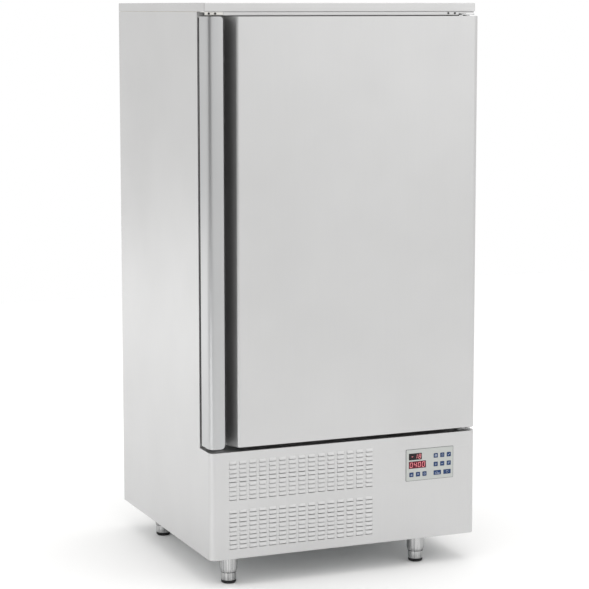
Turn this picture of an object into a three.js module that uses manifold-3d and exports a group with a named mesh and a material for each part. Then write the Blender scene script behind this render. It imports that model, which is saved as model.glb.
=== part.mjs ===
// An upright blast chiller in folded stainless steel. An insulated cavity with tray racks, an evaporator
// and two fans stands over a machine compartment, whose front panel is pressed with rows of louvres.
// A full-height door hangs on pins at the right and is pulled by a grip profile along its left edge.
//
// Millimetres. X is to the right, Y to the back and Z up. The floor is z = 0, and the origin lies at the
// middle of the footprint.

import * as THREE from 'three';
import { mergeVertices } from 'three/addons/utils/BufferGeometryUtils.js';
import Module from 'manifold-3d';

const wasm = await Module();
wasm.setup();

// ---------------------------------------------------------------- driving dimensions

// Cabinet
const cabinetWidth = 800;
const cabinetDepth = 756; // door face to the rear edges of the side panels
const cabinetHeight = 1496; // underside of the base to the top of the cap
const footHeight = 79;
const compartmentHeight = 296;
const wallThickness = 60;
const sheet = 1.2;
const cornerRadius = 18;
const capHeight = 23.5;
const capSetback = 27.5; // door face to the front edge of the cap
const rearInset = 14; // the rear panel stands this far inside the rear edges
const returnWidth = 16; // folded returns along sheet edges
const coveRadius = 16; // hygienic rounding along the edges of the cavity
const frameThickness = 1.5;
const panThickness = 2;
const panFlangeHeight = 24;

// Door
const doorThickness = 65;
const gasketDepth = 17; // door back to the front frame
const doorTopGap = 12.5;
const doorBottomGap = 7.5;
const linerRaise = 8; // pressed field of the door liner
const linerMargin = 10; // gasket to the pressed field
const gasketWidth = 26;
const gasketLand = 2; // gasket stands this far outside the cavity's edge
const gasketBase = 5;
const gasketNeckInset = 6;
const gasketHeadDepth = 6;
const gasketHeadInset = 2.5;
const gasketGap = 0.3; // closed gasket to the front frame
const foamGap = 0.1; // foam and liner to the bends of the skin
const drainHoleRadius = 2.5; // under the grip's hollow

// Grip profile and finger recess
const gripWidth = 42;
const gripThickness = 20;
const gripLegWidth = 10;
const gripEndRadius = 10;
const gripEdgeRadius = 3;
const gripWall = 2;
const recessWidth = 38;
const recessDepth = 49;
const recessLean = 19; // the recess wall leans back by this much
const recessRadius = 9;
const recessLipRadius = 3;

// Hinges
const hingeInset = 25; // pin axis from the right side
const hingeSetback = 32.5; // pin axis from the door face
const pinRadius = 5;
const pinReach = 24; // pin length inside the door
const pinClearance = 0.3;
const collarRadius = 9;
const bracketThickness = 3;
const bracketWidth = 46;
const bracketTop = 3; // top bracket plate above the door
const bracketLeafHeight = 46;

// Door switch
const switchWidth = 18;
const switchDepth = 12;
const switchInset = 30; // left side to the switch
const switchGap = 1.5; // above and below it, between the door's level and the cap
const plungerWidth = 6;
const plungerReach = 3;

// Louvres
const louvreBlocks = 2;
const louvreColumns = 15;
const louvreRows = 9; // in each block
const louvreWidth = 21.5;
const louvreHeight = 9;
const louvreDepth = 3;
const louvreSlot = 1.8; // open height under each hood
const louvreColumnPitch = 28.9;
const louvreRowPitch = 12.3;
const louvreBlockPitch = 135.6;
const louvreInset = 54; // left side to the first column
const louvreDrop = 33.4; // ledge to the lower edge of the first row

// Controller
const plateWidth = 148;
const plateHeight = 90.5;
const plateProud = 1.2;
const plateCornerRadius = 2;
const plateInset = 70; // right side to the plate's right edge
const plateDrop = 38.5; // ledge to the plate's top edge
const boxMargin = 4; // plate edge to the box behind it
const boxDepth = 55;
const boxWall = 1.8;
const boxStep = 3; // seat of the display board
const fitGap = 0.3; // all round pieces that pass through a cut-out
const boardSetback = 2.6;
const boardThickness = 1.6;
const windowSink = 0.2; // display window below the face of the plate
const keySize = 12.5;
const wideKeyWidth = 22.8;
const keyProud = 0.6;
const keyFlange = 1;
const keyFlangeWidth = 1.2;

// Places on the plate, from its lower left corner: [centre x, centre z]
const lowerKeys = [[17.1, 18.2], [37.5, 18.2], [57.9, 18.2]];
const middleKeys = [[92.8, 42.6], [113.3, 42.6], [133.8, 42.6]];
const upperKeys = [[92.8, 67.2], [113.3, 67.2], [133.8, 67.2]];
const wideKeys = [[98, 18], [128.6, 18]];
// Display windows: [centre x, centre z, width, height]
const windows = [[29, 69.2, 40, 18.5], [35.5, 45.6, 53, 20]];

// Feet
const footInsetLeft = 72;
const footInsetRight = 159;
const footInsetFront = 56;
const footInsetRear = 153;
const sleeveRadius = 24.5;
const sleeveLength = 47;
const sleeveChamfer = 9;
const sleeveLip = 1; // wall of the sleeve at its lower rim
const footRadius = 20.6;
const footClearance = 0.4;
const footInSleeve = 38; // foot length inside the sleeve
const footChamfer = 2;
const footSegments = 12;
const sleeveCapThickness = 4;
const padHeight = 9;
const padTaper = 3;

// Tray racks
const trayWidth = 410; // between the webs of the two racks
const runnerPitch = 95;
const runnerFirst = 82; // cavity floor to the first runner
const runnerLast = 90; // least room above the last runner
const runnerShelf = 20;
const runnerHeight = 14;
const runnerThickness = 2;
const postSize = 16;
const rackFrontInset = 16;
const rackRearGap = 1.3;

// Evaporator
const fanRadius = 146;
const fanClearance = 5;
const fanDepth = 34;
const fanHubRadius = 44;
const fanPitch = 480; // between the two evaporator fans
const collarDepth = 62;
const coverThickness = 1.5;
const coverReturn = 36;
const coverSlot = 34; // air slots at the front and the rear of the cover
const lugLength = 14; // spacers from the cover to the left rack
const guardThickness = 3;
const guardOverlap = 14; // guard ring outside the fan opening
const guardRim = 2; // guard ring inside it
const guardRing = 98; // middle radius of the inner ring
const guardRingWidth = 6;
const guardSpoke = 6;
const motorRadius = 40;
const motorLength = 38;
const shaftRadius = 5;
const shaftLength = 36;
const shaftSides = 8;
const coilCore = 30;
const coilFanGap = 12; // coil to the fans
const coilFinCount = 13;
const coilLegLength = 60; // along the coil's depth
const coilEndClearance = 60; // coil above the cavity floor and below its ceiling
const coilWallGap = 4;
const drainRadius = 13;
const drainBore = 9;
const drainFlange = 28;
const drainLip = 1.5;
const drainTail = 12; // below the insulation
const drainSetback = 60; // behind the middle of the cavity

// Fan wheels and finned coils
const bladeCount = 5;
const bladeThickness = 2;
const bladeTilt = 18; // degrees
const bladeSpread = 39; // degrees along the tip
const bladeRoot = 0.8; // blades start at this part of the hub's radius
const finThickness = 2;

// Machine compartment
const condenserWidth = 330;
const condenserHeight = 240;
const condenserDepth = 56;
const condenserInset = 58; // from the left side
const condenserSetback = 78; // from the front
const condenserCore = 18;
const condenserFinCount = 12;
const condenserFanRadius = 104;
const condenserFanClearance = 5;
const shroudDepth = 34;
const shroudCollar = 2;
const shroudFanGap = 4; // shroud plate to the fan
const condenserMotorRadius = 32;
const condenserMotorLength = 50;
const motorArmWidth = 12;
const motorArmThickness = 3;
const motorArmCount = 3;
const compressorRadius = 84;
const compressorHeight = 205;
const compressorInset = 230; // its axis from the right side
const compressorSetback = 10; // its axis behind the middle
const compressorFootHeight = 18;
const compressorFootRadius = 12;
const compressorFootInset = [80, 52]; // feet from the compressor's axis
const compressorPlate = [92, 67, 4]; // half width, half depth and thickness of its foot plate
const terminalCover = [52, 16, 56]; // width, depth and height
const stubInset = 46; // pipe stubs from the axis
const stubHeight = 12; // above the crown
const stubWall = 3;
const receiverRadius = 48;
const receiverHeight = 190;
const receiverInset = 150; // its axis from the left side
const receiverSetback = 120; // its axis behind the middle
const receiverSkirt = 10;
const suctionRadius = 8;
const dischargeRadius = 6;
const pipeSides = 8;
const pipeBend = 30;
const pipeBendSteps = 4;
const pipeStub = 10; // straight run before the first bend
const pipeGap = 0.3; // pipe end to what it meets
const ventColumns = 2;
const ventRows = 7;
const ventWidth = 150;
const ventColumnPitch = 190;
const ventHeight = 6;
const ventPitch = 24;
const glandRadius = 16;
const glandNeckRadius = 10;
const glandFlange = 5;
const glandNut = 7; // inside the rear panel
const glandReach = 12; // outside it
const glandBore = 5;
const glandInset = 100; // its axis from the left side
const glandRise = 40; // its axis above the base

// ---------------------------------------------------------------- places worked out from them

const halfWidth = cabinetWidth / 2;
const frontY = louvreDepth - (cabinetDepth + louvreDepth) / 2; // face of the door and the front panel
const backY = frontY + cabinetDepth;
const frameY = frontY + doorThickness + gasketDepth; // face of the front frame
const rearFaceY = backY - rearInset;
const baseZ = footHeight;
const ledgeZ = baseZ + compartmentHeight;
const topZ = baseZ + cabinetHeight;
const capZ = topZ - capHeight;
const doorBottomZ = ledgeZ + doorBottomGap;
const doorTopZ = capZ - doorTopGap;
const insideX = halfWidth - sheet; // inner face of a side panel
const cavityX = halfWidth - wallThickness;
const cavityFloorZ = ledgeZ + wallThickness;
const cavityTopZ = capZ - wallThickness;
const cavityBackY = rearFaceY - sheet - wallThickness;
const foamFrontY = frameY + frameThickness;
const hingeX = halfWidth - hingeInset;
const hingeY = frontY + hingeSetback;
const runnerCount = 1 + Math.floor((cavityTopZ - cavityFloorZ - runnerFirst - runnerLast) / runnerPitch);
const compressorPlace = [halfWidth - compressorInset, compressorSetback];
const receiverPlace = [-halfWidth + receiverInset, receiverSetback];
const glandPlace = [-halfWidth + glandInset, baseZ + glandRise]; // on the rear panel

// ---------------------------------------------------------------- shapes

// An arc is drawn in straight steps that stray no further than this from the true curve.
const facetError = 0.25;

const arcSteps = (radius, turn) => Math.max(2, Math.ceil(turn / (2 * Math.acos(1 - facetError / radius))));

// Points along an arc, its two ends included.
function arcPoints(x, y, radius, from, turn, steps) {
  return Array.from({ length: steps + 1 }, (_, step) => {
    const angle = from + (turn * step) / steps;
    return new THREE.Vector2(x + radius * Math.cos(angle), y + radius * Math.sin(angle));
  });
}

// The corners of an outline run anticlockwise, each [x, y] or [x, y, radius].
function roundedOutline(corners) {
  const count = corners.length;
  return new THREE.Shape(corners.flatMap(([x, y, radius = 0], index) => {
    const corner = new THREE.Vector2(x, y);
    if (radius === 0) return [corner];
    const [beforeX, beforeY] = corners[(index + count - 1) % count];
    const [afterX, afterY] = corners[(index + 1) % count];
    const toBefore = new THREE.Vector2(beforeX, beforeY).sub(corner).normalize();
    const toAfter = new THREE.Vector2(afterX, afterY).sub(corner).normalize();
    const halfAngle = Math.acos(toBefore.dot(toAfter)) / 2;
    const start = corner.clone().addScaledVector(toBefore, radius / Math.tan(halfAngle));
    const middle = toBefore.clone().add(toAfter).normalize();
    const centre = corner.clone().addScaledVector(middle, radius / Math.sin(halfAngle));
    const turn = Math.PI - 2 * halfAngle;
    const side = toBefore.cross(toAfter) > 0 ? -1 : 1;
    const from = Math.atan2(start.y - centre.y, start.x - centre.x);
    return arcPoints(centre.x, centre.y, radius, from, side * turn, arcSteps(radius, turn));
  }));
}

// The same outline moved inward by a wall: outer roundings shrink and inner ones grow.
function insetCorners(corners, wall) {
  const count = corners.length;
  const leftOf = ([ax, ay], [bx, by]) => new THREE.Vector2(ay - by, bx - ax).normalize();
  return corners.map((corner, index) => {
    const before = corners[(index + count - 1) % count];
    const after = corners[(index + 1) % count];
    const normalIn = leftOf(before, corner);
    const normalOut = leftOf(corner, after);
    const scale = wall / (1 + normalIn.dot(normalOut));
    const turn = normalIn.cross(normalOut);
    const radius = corner[2] ? Math.max(corner[2] - Math.sign(turn) * wall, 0) : 0;
    return [
      corner[0] + (normalIn.x + normalOut.x) * scale,
      corner[1] + (normalIn.y + normalOut.y) * scale,
      radius,
    ];
  });
}

const rectangle = (x0, x1, y0, y1, radius = 0) =>
  roundedOutline([[x0, y0, radius], [x1, y0, radius], [x1, y1, radius], [x0, y1, radius]]);

function circle(radius, x = 0, y = 0, steps = 16) {
  return new THREE.Shape(arcPoints(x, y, radius, 0, Math.PI * 2, steps).slice(0, -1));
}

// ---------------------------------------------------------------- solids

// A closed geometry becomes a solid that can be cut and joined. Its corners keep to a grid of a hundredth
// of a millimetre, so that faces which are meant to meet do meet.
const onGrid = (length) => Math.round(length * 100) / 100;

function solidOf(geometry) {
  const bare = geometry.index ? geometry.toNonIndexed() : geometry.clone();
  bare.deleteAttribute('normal');
  bare.deleteAttribute('uv');
  const merged = mergeVertices(bare, 1e-4);
  const index = merged.index.array;
  const triangles = [];
  for (let i = 0; i < index.length; i += 3) {
    const [a, b, c] = [index[i], index[i + 1], index[i + 2]];
    if (a !== b && b !== c && c !== a) triangles.push(a, b, c);
  }
  return new wasm.Manifold(new wasm.Mesh({
    numProp: 3,
    vertProperties: Float32Array.from(merged.attributes.position.array, onGrid),
    triVerts: Uint32Array.from(triangles),
  }));
}

function geometryOf(solid) {
  const mesh = solid.getMesh();
  const geometry = new THREE.BufferGeometry();
  geometry.setAttribute('position', new THREE.BufferAttribute(mesh.vertProperties, 3));
  geometry.setIndex(new THREE.BufferAttribute(mesh.triVerts, 1));
  geometry.computeVertexNormals();
  return geometry;
}

const join = (...solids) => solids.reduce((whole, piece) => whole.add(piece));
const cut = (whole, ...tools) => tools.reduce((rest, tool) => rest.subtract(tool), whole);

// Outlines are extruded along one axis; the other two carry the outline, turned so that right stays right.
const alongX = new THREE.Matrix4().makeBasis(
  new THREE.Vector3(0, 1, 0), new THREE.Vector3(0, 0, 1), new THREE.Vector3(1, 0, 0));
const alongY = new THREE.Matrix4().makeBasis(
  new THREE.Vector3(1, 0, 0), new THREE.Vector3(0, 0, 1), new THREE.Vector3(0, -1, 0));

const extruded = (shape, depth) => new THREE.ExtrudeGeometry(shape, { depth, bevelEnabled: false });

// Prism along X: the outline lies in Y and Z.
const prismX = (shape, x0, x1) =>
  solidOf(extruded(shape, x1 - x0).applyMatrix4(alongX).translate(x0, 0, 0));

// Prism along Y: the outline lies in X and Z.
const prismY = (shape, y0, y1) =>
  solidOf(extruded(shape, y1 - y0).applyMatrix4(alongY).translate(0, y1, 0));

// Prism along Z: the outline lies in X and Y.
const prismZ = (shape, z0, z1) => solidOf(extruded(shape, z1 - z0).translate(0, 0, z0));

function boxGeometry(x0, x1, y0, y1, z0, z1) {
  const box = new THREE.BoxGeometry(x1 - x0, y1 - y0, z1 - z0);
  return box.translate((x0 + x1) / 2, (y0 + y1) / 2, (z0 + z1) / 2);
}

const block = (...sides) => solidOf(boxGeometry(...sides));

// A solid of revolution about an upright axis from [radius, z] points, run anticlockwise.
function turned(points, segments, x = 0, y = 0) {
  const profile = points.map(([radius, z]) => new THREE.Vector2(radius, z));
  return solidOf(new THREE.LatheGeometry(profile, segments).rotateX(Math.PI / 2).translate(x, y, 0));
}

const rod = (radius, z0, z1, segments, x = 0, y = 0) =>
  turned([[0, z0], [radius, z0], [radius, z1], [0, z1]], segments, x, y);

// ---------------------------------------------------------------- finishes

const finish = (color, roughness, metalness) =>
  new THREE.MeshStandardMaterial({ color, roughness, metalness });

const satinSteel = finish(0xd2d3d2, 0.4, 0.9);
const gripSteel = finish(0xc0c1c1, 0.35, 0.9);
const footSteel = finish(0xb9bbbd, 0.25, 1);
const galvanised = finish(0xa9aeb1, 0.5, 0.8);
const foamYellow = finish(0xe8dfb8, 0.9, 0);
const gasketGrey = finish(0x2b2d30, 0.8, 0);
const plateGrey = finish(0xd9dad4, 0.5, 0);
const keyBlue = finish(0x2c4376, 0.45, 0);
const displayDark = finish(0x2a0d10, 0.2, 0);
const blackPlastic = finish(0x1b1b1d, 0.6, 0);
const whitePlastic = finish(0xeceae4, 0.5, 0);
const compressorBlack = finish(0x1f2124, 0.45, 0.3);
const copper = finish(0xb87345, 0.35, 0.9);
const finAluminium = finish(0xc8ccce, 0.4, 0.8);

const chiller = new THREE.Group();

function place(parent, name, solid, material) {
  const mesh = new THREE.Mesh(geometryOf(solid), material);
  mesh.name = name;
  parent.add(mesh);
  return mesh;
}

// ---------------------------------------------------------------- cabinet shell

// A side panel stands back beside the door and runs forward below it, to the rounded front corner.
function sidePanel(side) {
  const frontEdge = frontY + cornerRadius;
  const plan = [
    [insideX, frontEdge], [halfWidth, frontEdge], [halfWidth, backY],
    [halfWidth - returnWidth, backY], [halfWidth - returnWidth, backY - sheet], [insideX, backY - sheet],
  ];
  const turnedPlan = side > 0 ? plan : plan.map(([x, y]) => [-x, y]).reverse();
  const besideDoor = block(-cabinetWidth, cabinetWidth, frontEdge - 1, frameY, ledgeZ, topZ);
  return cut(prismZ(roundedOutline(turnedPlan), baseZ, capZ), besideDoor);
}

// Rows of vent slots open the machine compartment to the back.
function rearPanel() {
  const inner = rearFaceY - 2 * sheet;
  const outer = rearFaceY + sheet;
  const ventTop = ledgeZ - (compartmentHeight - ventPitch * (ventRows - 1)) / 2;
  const slots = [];
  for (let column = 0; column < ventColumns; column += 1) {
    const x = (column - (ventColumns - 1) / 2) * ventColumnPitch - ventWidth / 2;
    for (let row = 0; row < ventRows; row += 1) {
      const z = ventTop - row * ventPitch;
      slots.push(block(x, x + ventWidth, inner, outer, z - ventHeight, z));
    }
  }
  const glandHole = circle(glandNeckRadius + fitGap, ...glandPlace);
  return cut(
    block(-insideX, insideX, rearFaceY - sheet, rearFaceY, baseZ, capZ),
    ...slots,
    prismY(glandHole, inner, outer),
  );
}

// The gland's two flanges grip the rear panel, and its bore stands empty.
function cableGland() {
  const inner = -sheet - glandNut;
  const outer = glandReach;
  const nutRadius = glandRadius * 0.8;
  return turned([
    [glandBore, inner], [nutRadius, inner], [nutRadius, -sheet], [glandNeckRadius, -sheet],
    [glandNeckRadius, 0], [glandRadius, 0], [glandRadius, glandFlange],
    [glandNeckRadius, outer], [glandBore, outer], [glandBore, inner],
  ], 12);
}

// The cap is a shallow lid, closed below only where it overhangs the door.
function topCap() {
  const capFrontY = frontY + capSetback;
  const hollow = roundedOutline([
    [capFrontY + sheet, capZ + sheet], [foamFrontY, capZ + sheet], [foamFrontY, capZ - 1],
    [backY - sheet, capZ - 1], [backY - sheet, topZ - sheet], [capFrontY + sheet, topZ - sheet],
  ]);
  return cut(
    block(-halfWidth, halfWidth, capFrontY, backY, capZ, topZ),
    prismX(hollow, -insideX, insideX),
  );
}

const cavityOutline = (grow) => rectangle(-cavityX - grow, cavityX + grow,
  cavityFloorZ - grow, cavityTopZ + grow, coveRadius + grow);

const drainPlace = [cavityX - postSize - trayWidth / 2, drainSetback]; // under the middle of the trays

// Foam fills the walls and the cap; the cavity and the drain pass through it.
function insulation() {
  return cut(
    block(-insideX, insideX, foamFrontY, rearFaceY - sheet, ledgeZ, topZ - sheet),
    prismY(cavityOutline(sheet), foamFrontY - 1, cavityBackY + sheet),
    rod(drainRadius + fitGap, ledgeZ - 1, cavityFloorZ + 1, 12, ...drainPlace),
  );
}

function innerLiner() {
  return cut(
    prismY(cavityOutline(sheet), foamFrontY, cavityBackY + sheet),
    prismY(cavityOutline(0), foamFrontY - 1, cavityBackY),
    rod(drainRadius + fitGap, ledgeZ, cavityFloorZ + 1, 12, ...drainPlace),
  );
}

function frontFrame() {
  return cut(
    block(-insideX, insideX, frameY, foamFrontY, ledgeZ, capZ),
    prismY(cavityOutline(0), frameY - 1, foamFrontY + 1),
  );
}

function cavityDrain() {
  const lip = cavityFloorZ + drainLip;
  const tail = ledgeZ - drainTail;
  return turned([
    [drainBore, tail], [drainRadius, tail], [drainRadius, cavityFloorZ],
    [drainFlange, cavityFloorZ], [drainFlange - drainLip, lip], [drainBore, lip], [drainBore, tail],
  ], 12, ...drainPlace);
}

// A channel-shaped pan between the side panels.
function basePan() {
  const low = baseZ + panThickness;
  const high = baseZ + panFlangeHeight;
  const inner = insideX - panThickness;
  const channel = roundedOutline([
    [-insideX, baseZ], [insideX, baseZ], [insideX, high], [inner, high],
    [inner, low], [-inner, low], [-inner, high], [-insideX, high],
  ]);
  return prismY(channel, frontY + cornerRadius, rearFaceY - sheet);
}

// ---------------------------------------------------------------- louvred front panel

const controllerX = halfWidth - plateInset - plateWidth; // left edge of the controller plate
const controllerZ = ledgeZ - plateDrop - plateHeight; // its lower edge

// Calls make with the left edge and the lower edge of every louvre.
function eachLouvre(make) {
  const pieces = [];
  for (let blockIndex = 0; blockIndex < louvreBlocks; blockIndex += 1) {
    for (let row = 0; row < louvreRows; row += 1) {
      const z = ledgeZ - louvreDrop - blockIndex * louvreBlockPitch - row * louvreRowPitch;
      for (let column = 0; column < louvreColumns; column += 1) {
        pieces.push(make(-halfWidth + louvreInset + column * louvreColumnPitch, z));
      }
    }
  }
  return wasm.Manifold.compose(pieces);
}

// A louvre is a sloping hood with closed cheeks, pressed out of the sheet. The slot that is cut under it
// also trims its lower edge.
const louvreHood = (x, z) => prismX(roundedOutline([
  [frontY - louvreDepth, z - louvreSlot / 2], [frontY, z - louvreSlot / 2], [frontY, z + louvreHeight],
  [frontY - louvreDepth, z],
]), x, x + louvreWidth);
const louvreOpening = (x, z) =>
  block(x, x + louvreWidth, frontY - 2 * louvreDepth, frontY + 2 * sheet, z - louvreSlot, z);

function machineFrontPanel() {
  const innerRadius = cornerRadius - sheet;
  const wrap = (x, y, radius, endY) =>
    roundedOutline([[-x, endY], [-x, y, radius], [x, y, radius], [x, endY]]);
  const endY = frontY + cornerRadius;
  const innerY = frontY + sheet;
  const skin = cut(
    prismZ(wrap(halfWidth, frontY, cornerRadius, endY), baseZ, ledgeZ),
    prismZ(wrap(insideX, innerY, innerRadius, endY + 1), baseZ - 1, ledgeZ + 1),
  );
  const ledge = prismZ(wrap(insideX, innerY, innerRadius, frameY), ledgeZ - sheet, ledgeZ);
  const foot = prismZ(wrap(insideX, innerY, innerRadius, endY), baseZ, baseZ + sheet);
  const opening = block(
    controllerX + boxMargin - fitGap, controllerX + plateWidth - boxMargin + fitGap,
    frontY - 1, frontY + 2 * sheet,
    controllerZ + boxMargin - fitGap, controllerZ + plateHeight - boxMargin + fitGap,
  );
  return cut(join(skin, ledge, foot, eachLouvre(louvreHood)), eachLouvre(louvreOpening), opening);
}

// ---------------------------------------------------------------- controller

// The plate is cut through for every key and window.
function controllerPlate() {
  const hole = ([x, z], width, height) => block(
    controllerX + x - width / 2 - fitGap, controllerX + x + width / 2 + fitGap,
    frontY - plateProud - 1, frontY + 1,
    controllerZ + z - height / 2 - fitGap, controllerZ + z + height / 2 + fitGap,
  );
  const outline = rectangle(controllerX, controllerX + plateWidth,
    controllerZ, controllerZ + plateHeight, plateCornerRadius);
  return cut(
    prismY(outline, frontY - plateProud, frontY),
    ...[...lowerKeys, ...middleKeys, ...upperKeys].map((key) => hole(key, keySize, keySize)),
    ...wideKeys.map((key) => hole(key, wideKeyWidth, keySize)),
    ...windows.map(([x, z, width, height]) => hole([x, z], width, height)),
  );
}

const boardFrontY = frontY + boardSetback;

function controlBox() {
  const ring = (margin, y0, y1) => block(
    controllerX + margin, controllerX + plateWidth - margin, y0, y1,
    controllerZ + margin, controllerZ + plateHeight - margin,
  );
  const inside = boxMargin + boxWall;
  return cut(
    ring(boxMargin, frontY, frontY + boxDepth),
    ring(inside, frontY - 1, boardFrontY + boardThickness),
    ring(inside + boxStep, frontY - 1, frontY + boxDepth - boxWall),
  );
}

// The board lies on the step inside the box; its two windows reach into the plate.
function displayBoard() {
  const margin = boxMargin + boxWall + fitGap;
  const board = block(
    controllerX + margin, controllerX + plateWidth - margin, boardFrontY, boardFrontY + boardThickness,
    controllerZ + margin, controllerZ + plateHeight - margin,
  );
  const glass = windows.map(([x, z, width, height]) => block(
    controllerX + x - width / 2, controllerX + x + width / 2,
    frontY - plateProud + windowSink, boardFrontY,
    controllerZ + z - height / 2, controllerZ + z + height / 2,
  ));
  return join(board, ...glass);
}

// A key's cap stands through the plate, and its wider flange rests behind it.
function key(width) {
  const face = frontY - plateProud - keyProud;
  return join(
    block(-width / 2, width / 2, face, frontY, -keySize / 2, keySize / 2),
    block(-width / 2 - keyFlangeWidth, width / 2 + keyFlangeWidth, frontY, frontY + keyFlange,
      -keySize / 2 - keyFlangeWidth, keySize / 2 + keyFlangeWidth),
  );
}

function addKeys() {
  const rows = { lower: lowerKeys, middle: middleKeys, upper: upperKeys, wide: wideKeys };
  Object.entries(rows).forEach(([row, keys]) => {
    keys.forEach(([x, z], index) => {
      const width = row === 'wide' ? wideKeyWidth : keySize;
      const mesh = place(chiller, `key_${row}_${index + 1}`, key(width), keyBlue);
      mesh.position.set(controllerX + x, 0, controllerZ + z);
    });
  });
}

// ---------------------------------------------------------------- feet

function footSleeve() {
  const bore = footRadius + footClearance;
  const rim = bore + sleeveLip;
  const roof = -sleeveCapThickness;
  return turned([
    [0, roof], [bore, roof], [bore, -sleeveLength], [rim, -sleeveLength],
    [sleeveRadius, sleeveChamfer - sleeveLength], [sleeveRadius, 0], [0, 0],
  ], footSegments);
}

function adjustableFoot() {
  const lower = padHeight - footHeight;
  const upper = footInSleeve - sleeveLength;
  return turned([
    [0, lower], [footRadius, lower], [footRadius, upper - footChamfer],
    [footRadius - footChamfer, upper], [0, upper],
  ], footSegments);
}

function footPad() {
  const top = padHeight - footHeight;
  const side = footRadius;
  return turned([
    [0, -footHeight], [side - padTaper, -footHeight], [side, padTaper - footHeight], [side, top], [0, top],
  ], footSegments);
}

function addFeet() {
  const columns = { left: -halfWidth + footInsetLeft, right: halfWidth - footInsetRight };
  const rows = { front: frontY + footInsetFront, rear: backY - footInsetRear };
  Object.entries(rows).forEach(([row, y]) => {
    Object.entries(columns).forEach(([column, x]) => {
      const mount = new THREE.Group();
      mount.position.set(x, y, baseZ);
      place(mount, `foot_sleeve_${row}_${column}`, footSleeve(), footSteel);
      place(mount, `foot_${row}_${column}`, adjustableFoot(), footSteel);
      place(mount, `foot_pad_${row}_${column}`, footPad(), blackPlastic);
      chiller.add(mount);
    });
  });
}

// ---------------------------------------------------------------- door

// Plan of the door behind its skin: left edge at the grip's leg, then the finger recess, face and right side.
const gripLegX = -halfWidth + gripLegWidth;
const recessRightX = -halfWidth + gripWidth + recessWidth;
const doorBackY = frontY + doorThickness;
const doorPlan = [
  [gripLegX, doorBackY],
  [gripLegX, frontY + recessDepth],
  [recessRightX - recessLean, frontY + recessDepth, recessRadius],
  [recessRightX, frontY, recessLipRadius],
  [halfWidth, frontY, cornerRadius],
  [halfWidth, doorBackY],
];

function pinHoles(radius) {
  return join(
    rod(radius, doorBottomZ - 1, doorBottomZ + pinReach + 1, 10, hingeX, hingeY),
    rod(radius, doorTopZ - pinReach - 1, doorTopZ + 1, 10, hingeX, hingeY),
  );
}

// The same plan inside the skin, ending at the given back.
function doorCore(gap, back) {
  const corners = insetCorners(doorPlan, sheet + gap);
  corners[0][1] = back;
  corners.at(-1)[1] = back;
  return roundedOutline(corners);
}

function doorSkin() {
  return cut(
    prismZ(roundedOutline(doorPlan), doorBottomZ, doorTopZ),
    prismZ(doorCore(0, doorBackY + 1), doorBottomZ + sheet, doorTopZ - sheet),
    pinHoles(pinRadius + pinClearance),
  );
}

// The gasket frames the cavity's opening; the liner's pressed field lies inside it.
const openingRing = (grow) => [-cavityX - grow, cavityX + grow, cavityFloorZ - grow, cavityTopZ + grow];
const raisedField = (shrink) => rectangle(...openingRing(gasketLand - linerMargin - shrink), coveRadius);

function doorInsulation() {
  const back = doorBackY - sheet;
  return cut(
    join(
      prismZ(doorCore(foamGap, back), doorBottomZ + sheet, doorTopZ - sheet),
      prismY(raisedField(sheet), back, doorBackY + linerRaise - sheet),
    ),
    pinHoles(pinRadius + pinClearance),
  );
}

function doorLiner() {
  const back = doorBackY - sheet;
  const left = gripLegX + sheet + foamGap;
  const right = insideX - foamGap;
  return cut(
    join(
      block(left, right, back, doorBackY, doorBottomZ + sheet, doorTopZ - sheet),
      prismY(raisedField(0), back, doorBackY + linerRaise),
    ),
    prismY(raisedField(sheet), back - 1, doorBackY + linerRaise - sheet),
  );
}

// A stepped seal with mitred corners: base on the liner, narrow neck, and a head for the front frame.
function doorGasket() {
  const ring = (inset, y0, y1) => {
    const outer = rectangle(...openingRing(gasketLand + gasketWidth - inset));
    outer.holes.push(rectangle(...openingRing(gasketLand + inset)));
    return prismY(outer, y0, y1);
  };
  const headY = frameY - gasketGap - gasketHeadDepth;
  return join(
    ring(0, doorBackY, doorBackY + gasketBase),
    ring(gasketNeckInset, doorBackY + gasketBase, headY),
    ring(gasketHeadInset, headY, frameY - gasketGap),
  );
}

// The grip is one hollow profile: a leg down the door's left side and a rounded lip before the recess.
function doorGrip() {
  const profile = [
    [-halfWidth, doorBackY],
    [-halfWidth, frontY, cornerRadius],
    [-halfWidth + gripWidth, frontY, gripEdgeRadius],
    [-halfWidth + gripWidth, frontY + gripThickness, gripEdgeRadius],
    [gripLegX, frontY + gripThickness, recessRadius],
    [gripLegX, doorBackY],
  ];
  const ends = roundedOutline([
    [-halfWidth, doorBottomZ], [-halfWidth + gripWidth, doorBottomZ, gripEndRadius],
    [-halfWidth + gripWidth, doorTopZ, gripEndRadius], [-halfWidth, doorTopZ],
  ]);
  const chamber = insetCorners(profile, gripWall);
  const drain = rod(drainHoleRadius, doorBottomZ - 1, doorBottomZ + 2 * gripWall + gripEndRadius, 8,
    -halfWidth + gripWidth / 2, frontY + gripThickness / 2);
  return cut(
    prismZ(roundedOutline(profile), doorBottomZ, doorTopZ)
      .intersect(prismY(ends, frontY - 1, doorBackY + 1)),
    prismZ(roundedOutline(chamber), doorBottomZ + gripEndRadius, doorTopZ - gripEndRadius),
    drain,
  );
}

// ---------------------------------------------------------------- hinges and door switch

// Each bracket is a plate under or over the door with a collar and a pin on the hinge axis.
function hingePlan() {
  return roundedOutline([
    [insideX - bracketWidth, frameY], [insideX - bracketWidth, hingeY - collarRadius, collarRadius],
    [insideX, hingeY - collarRadius, collarRadius], [insideX, frameY],
  ]);
}

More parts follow.
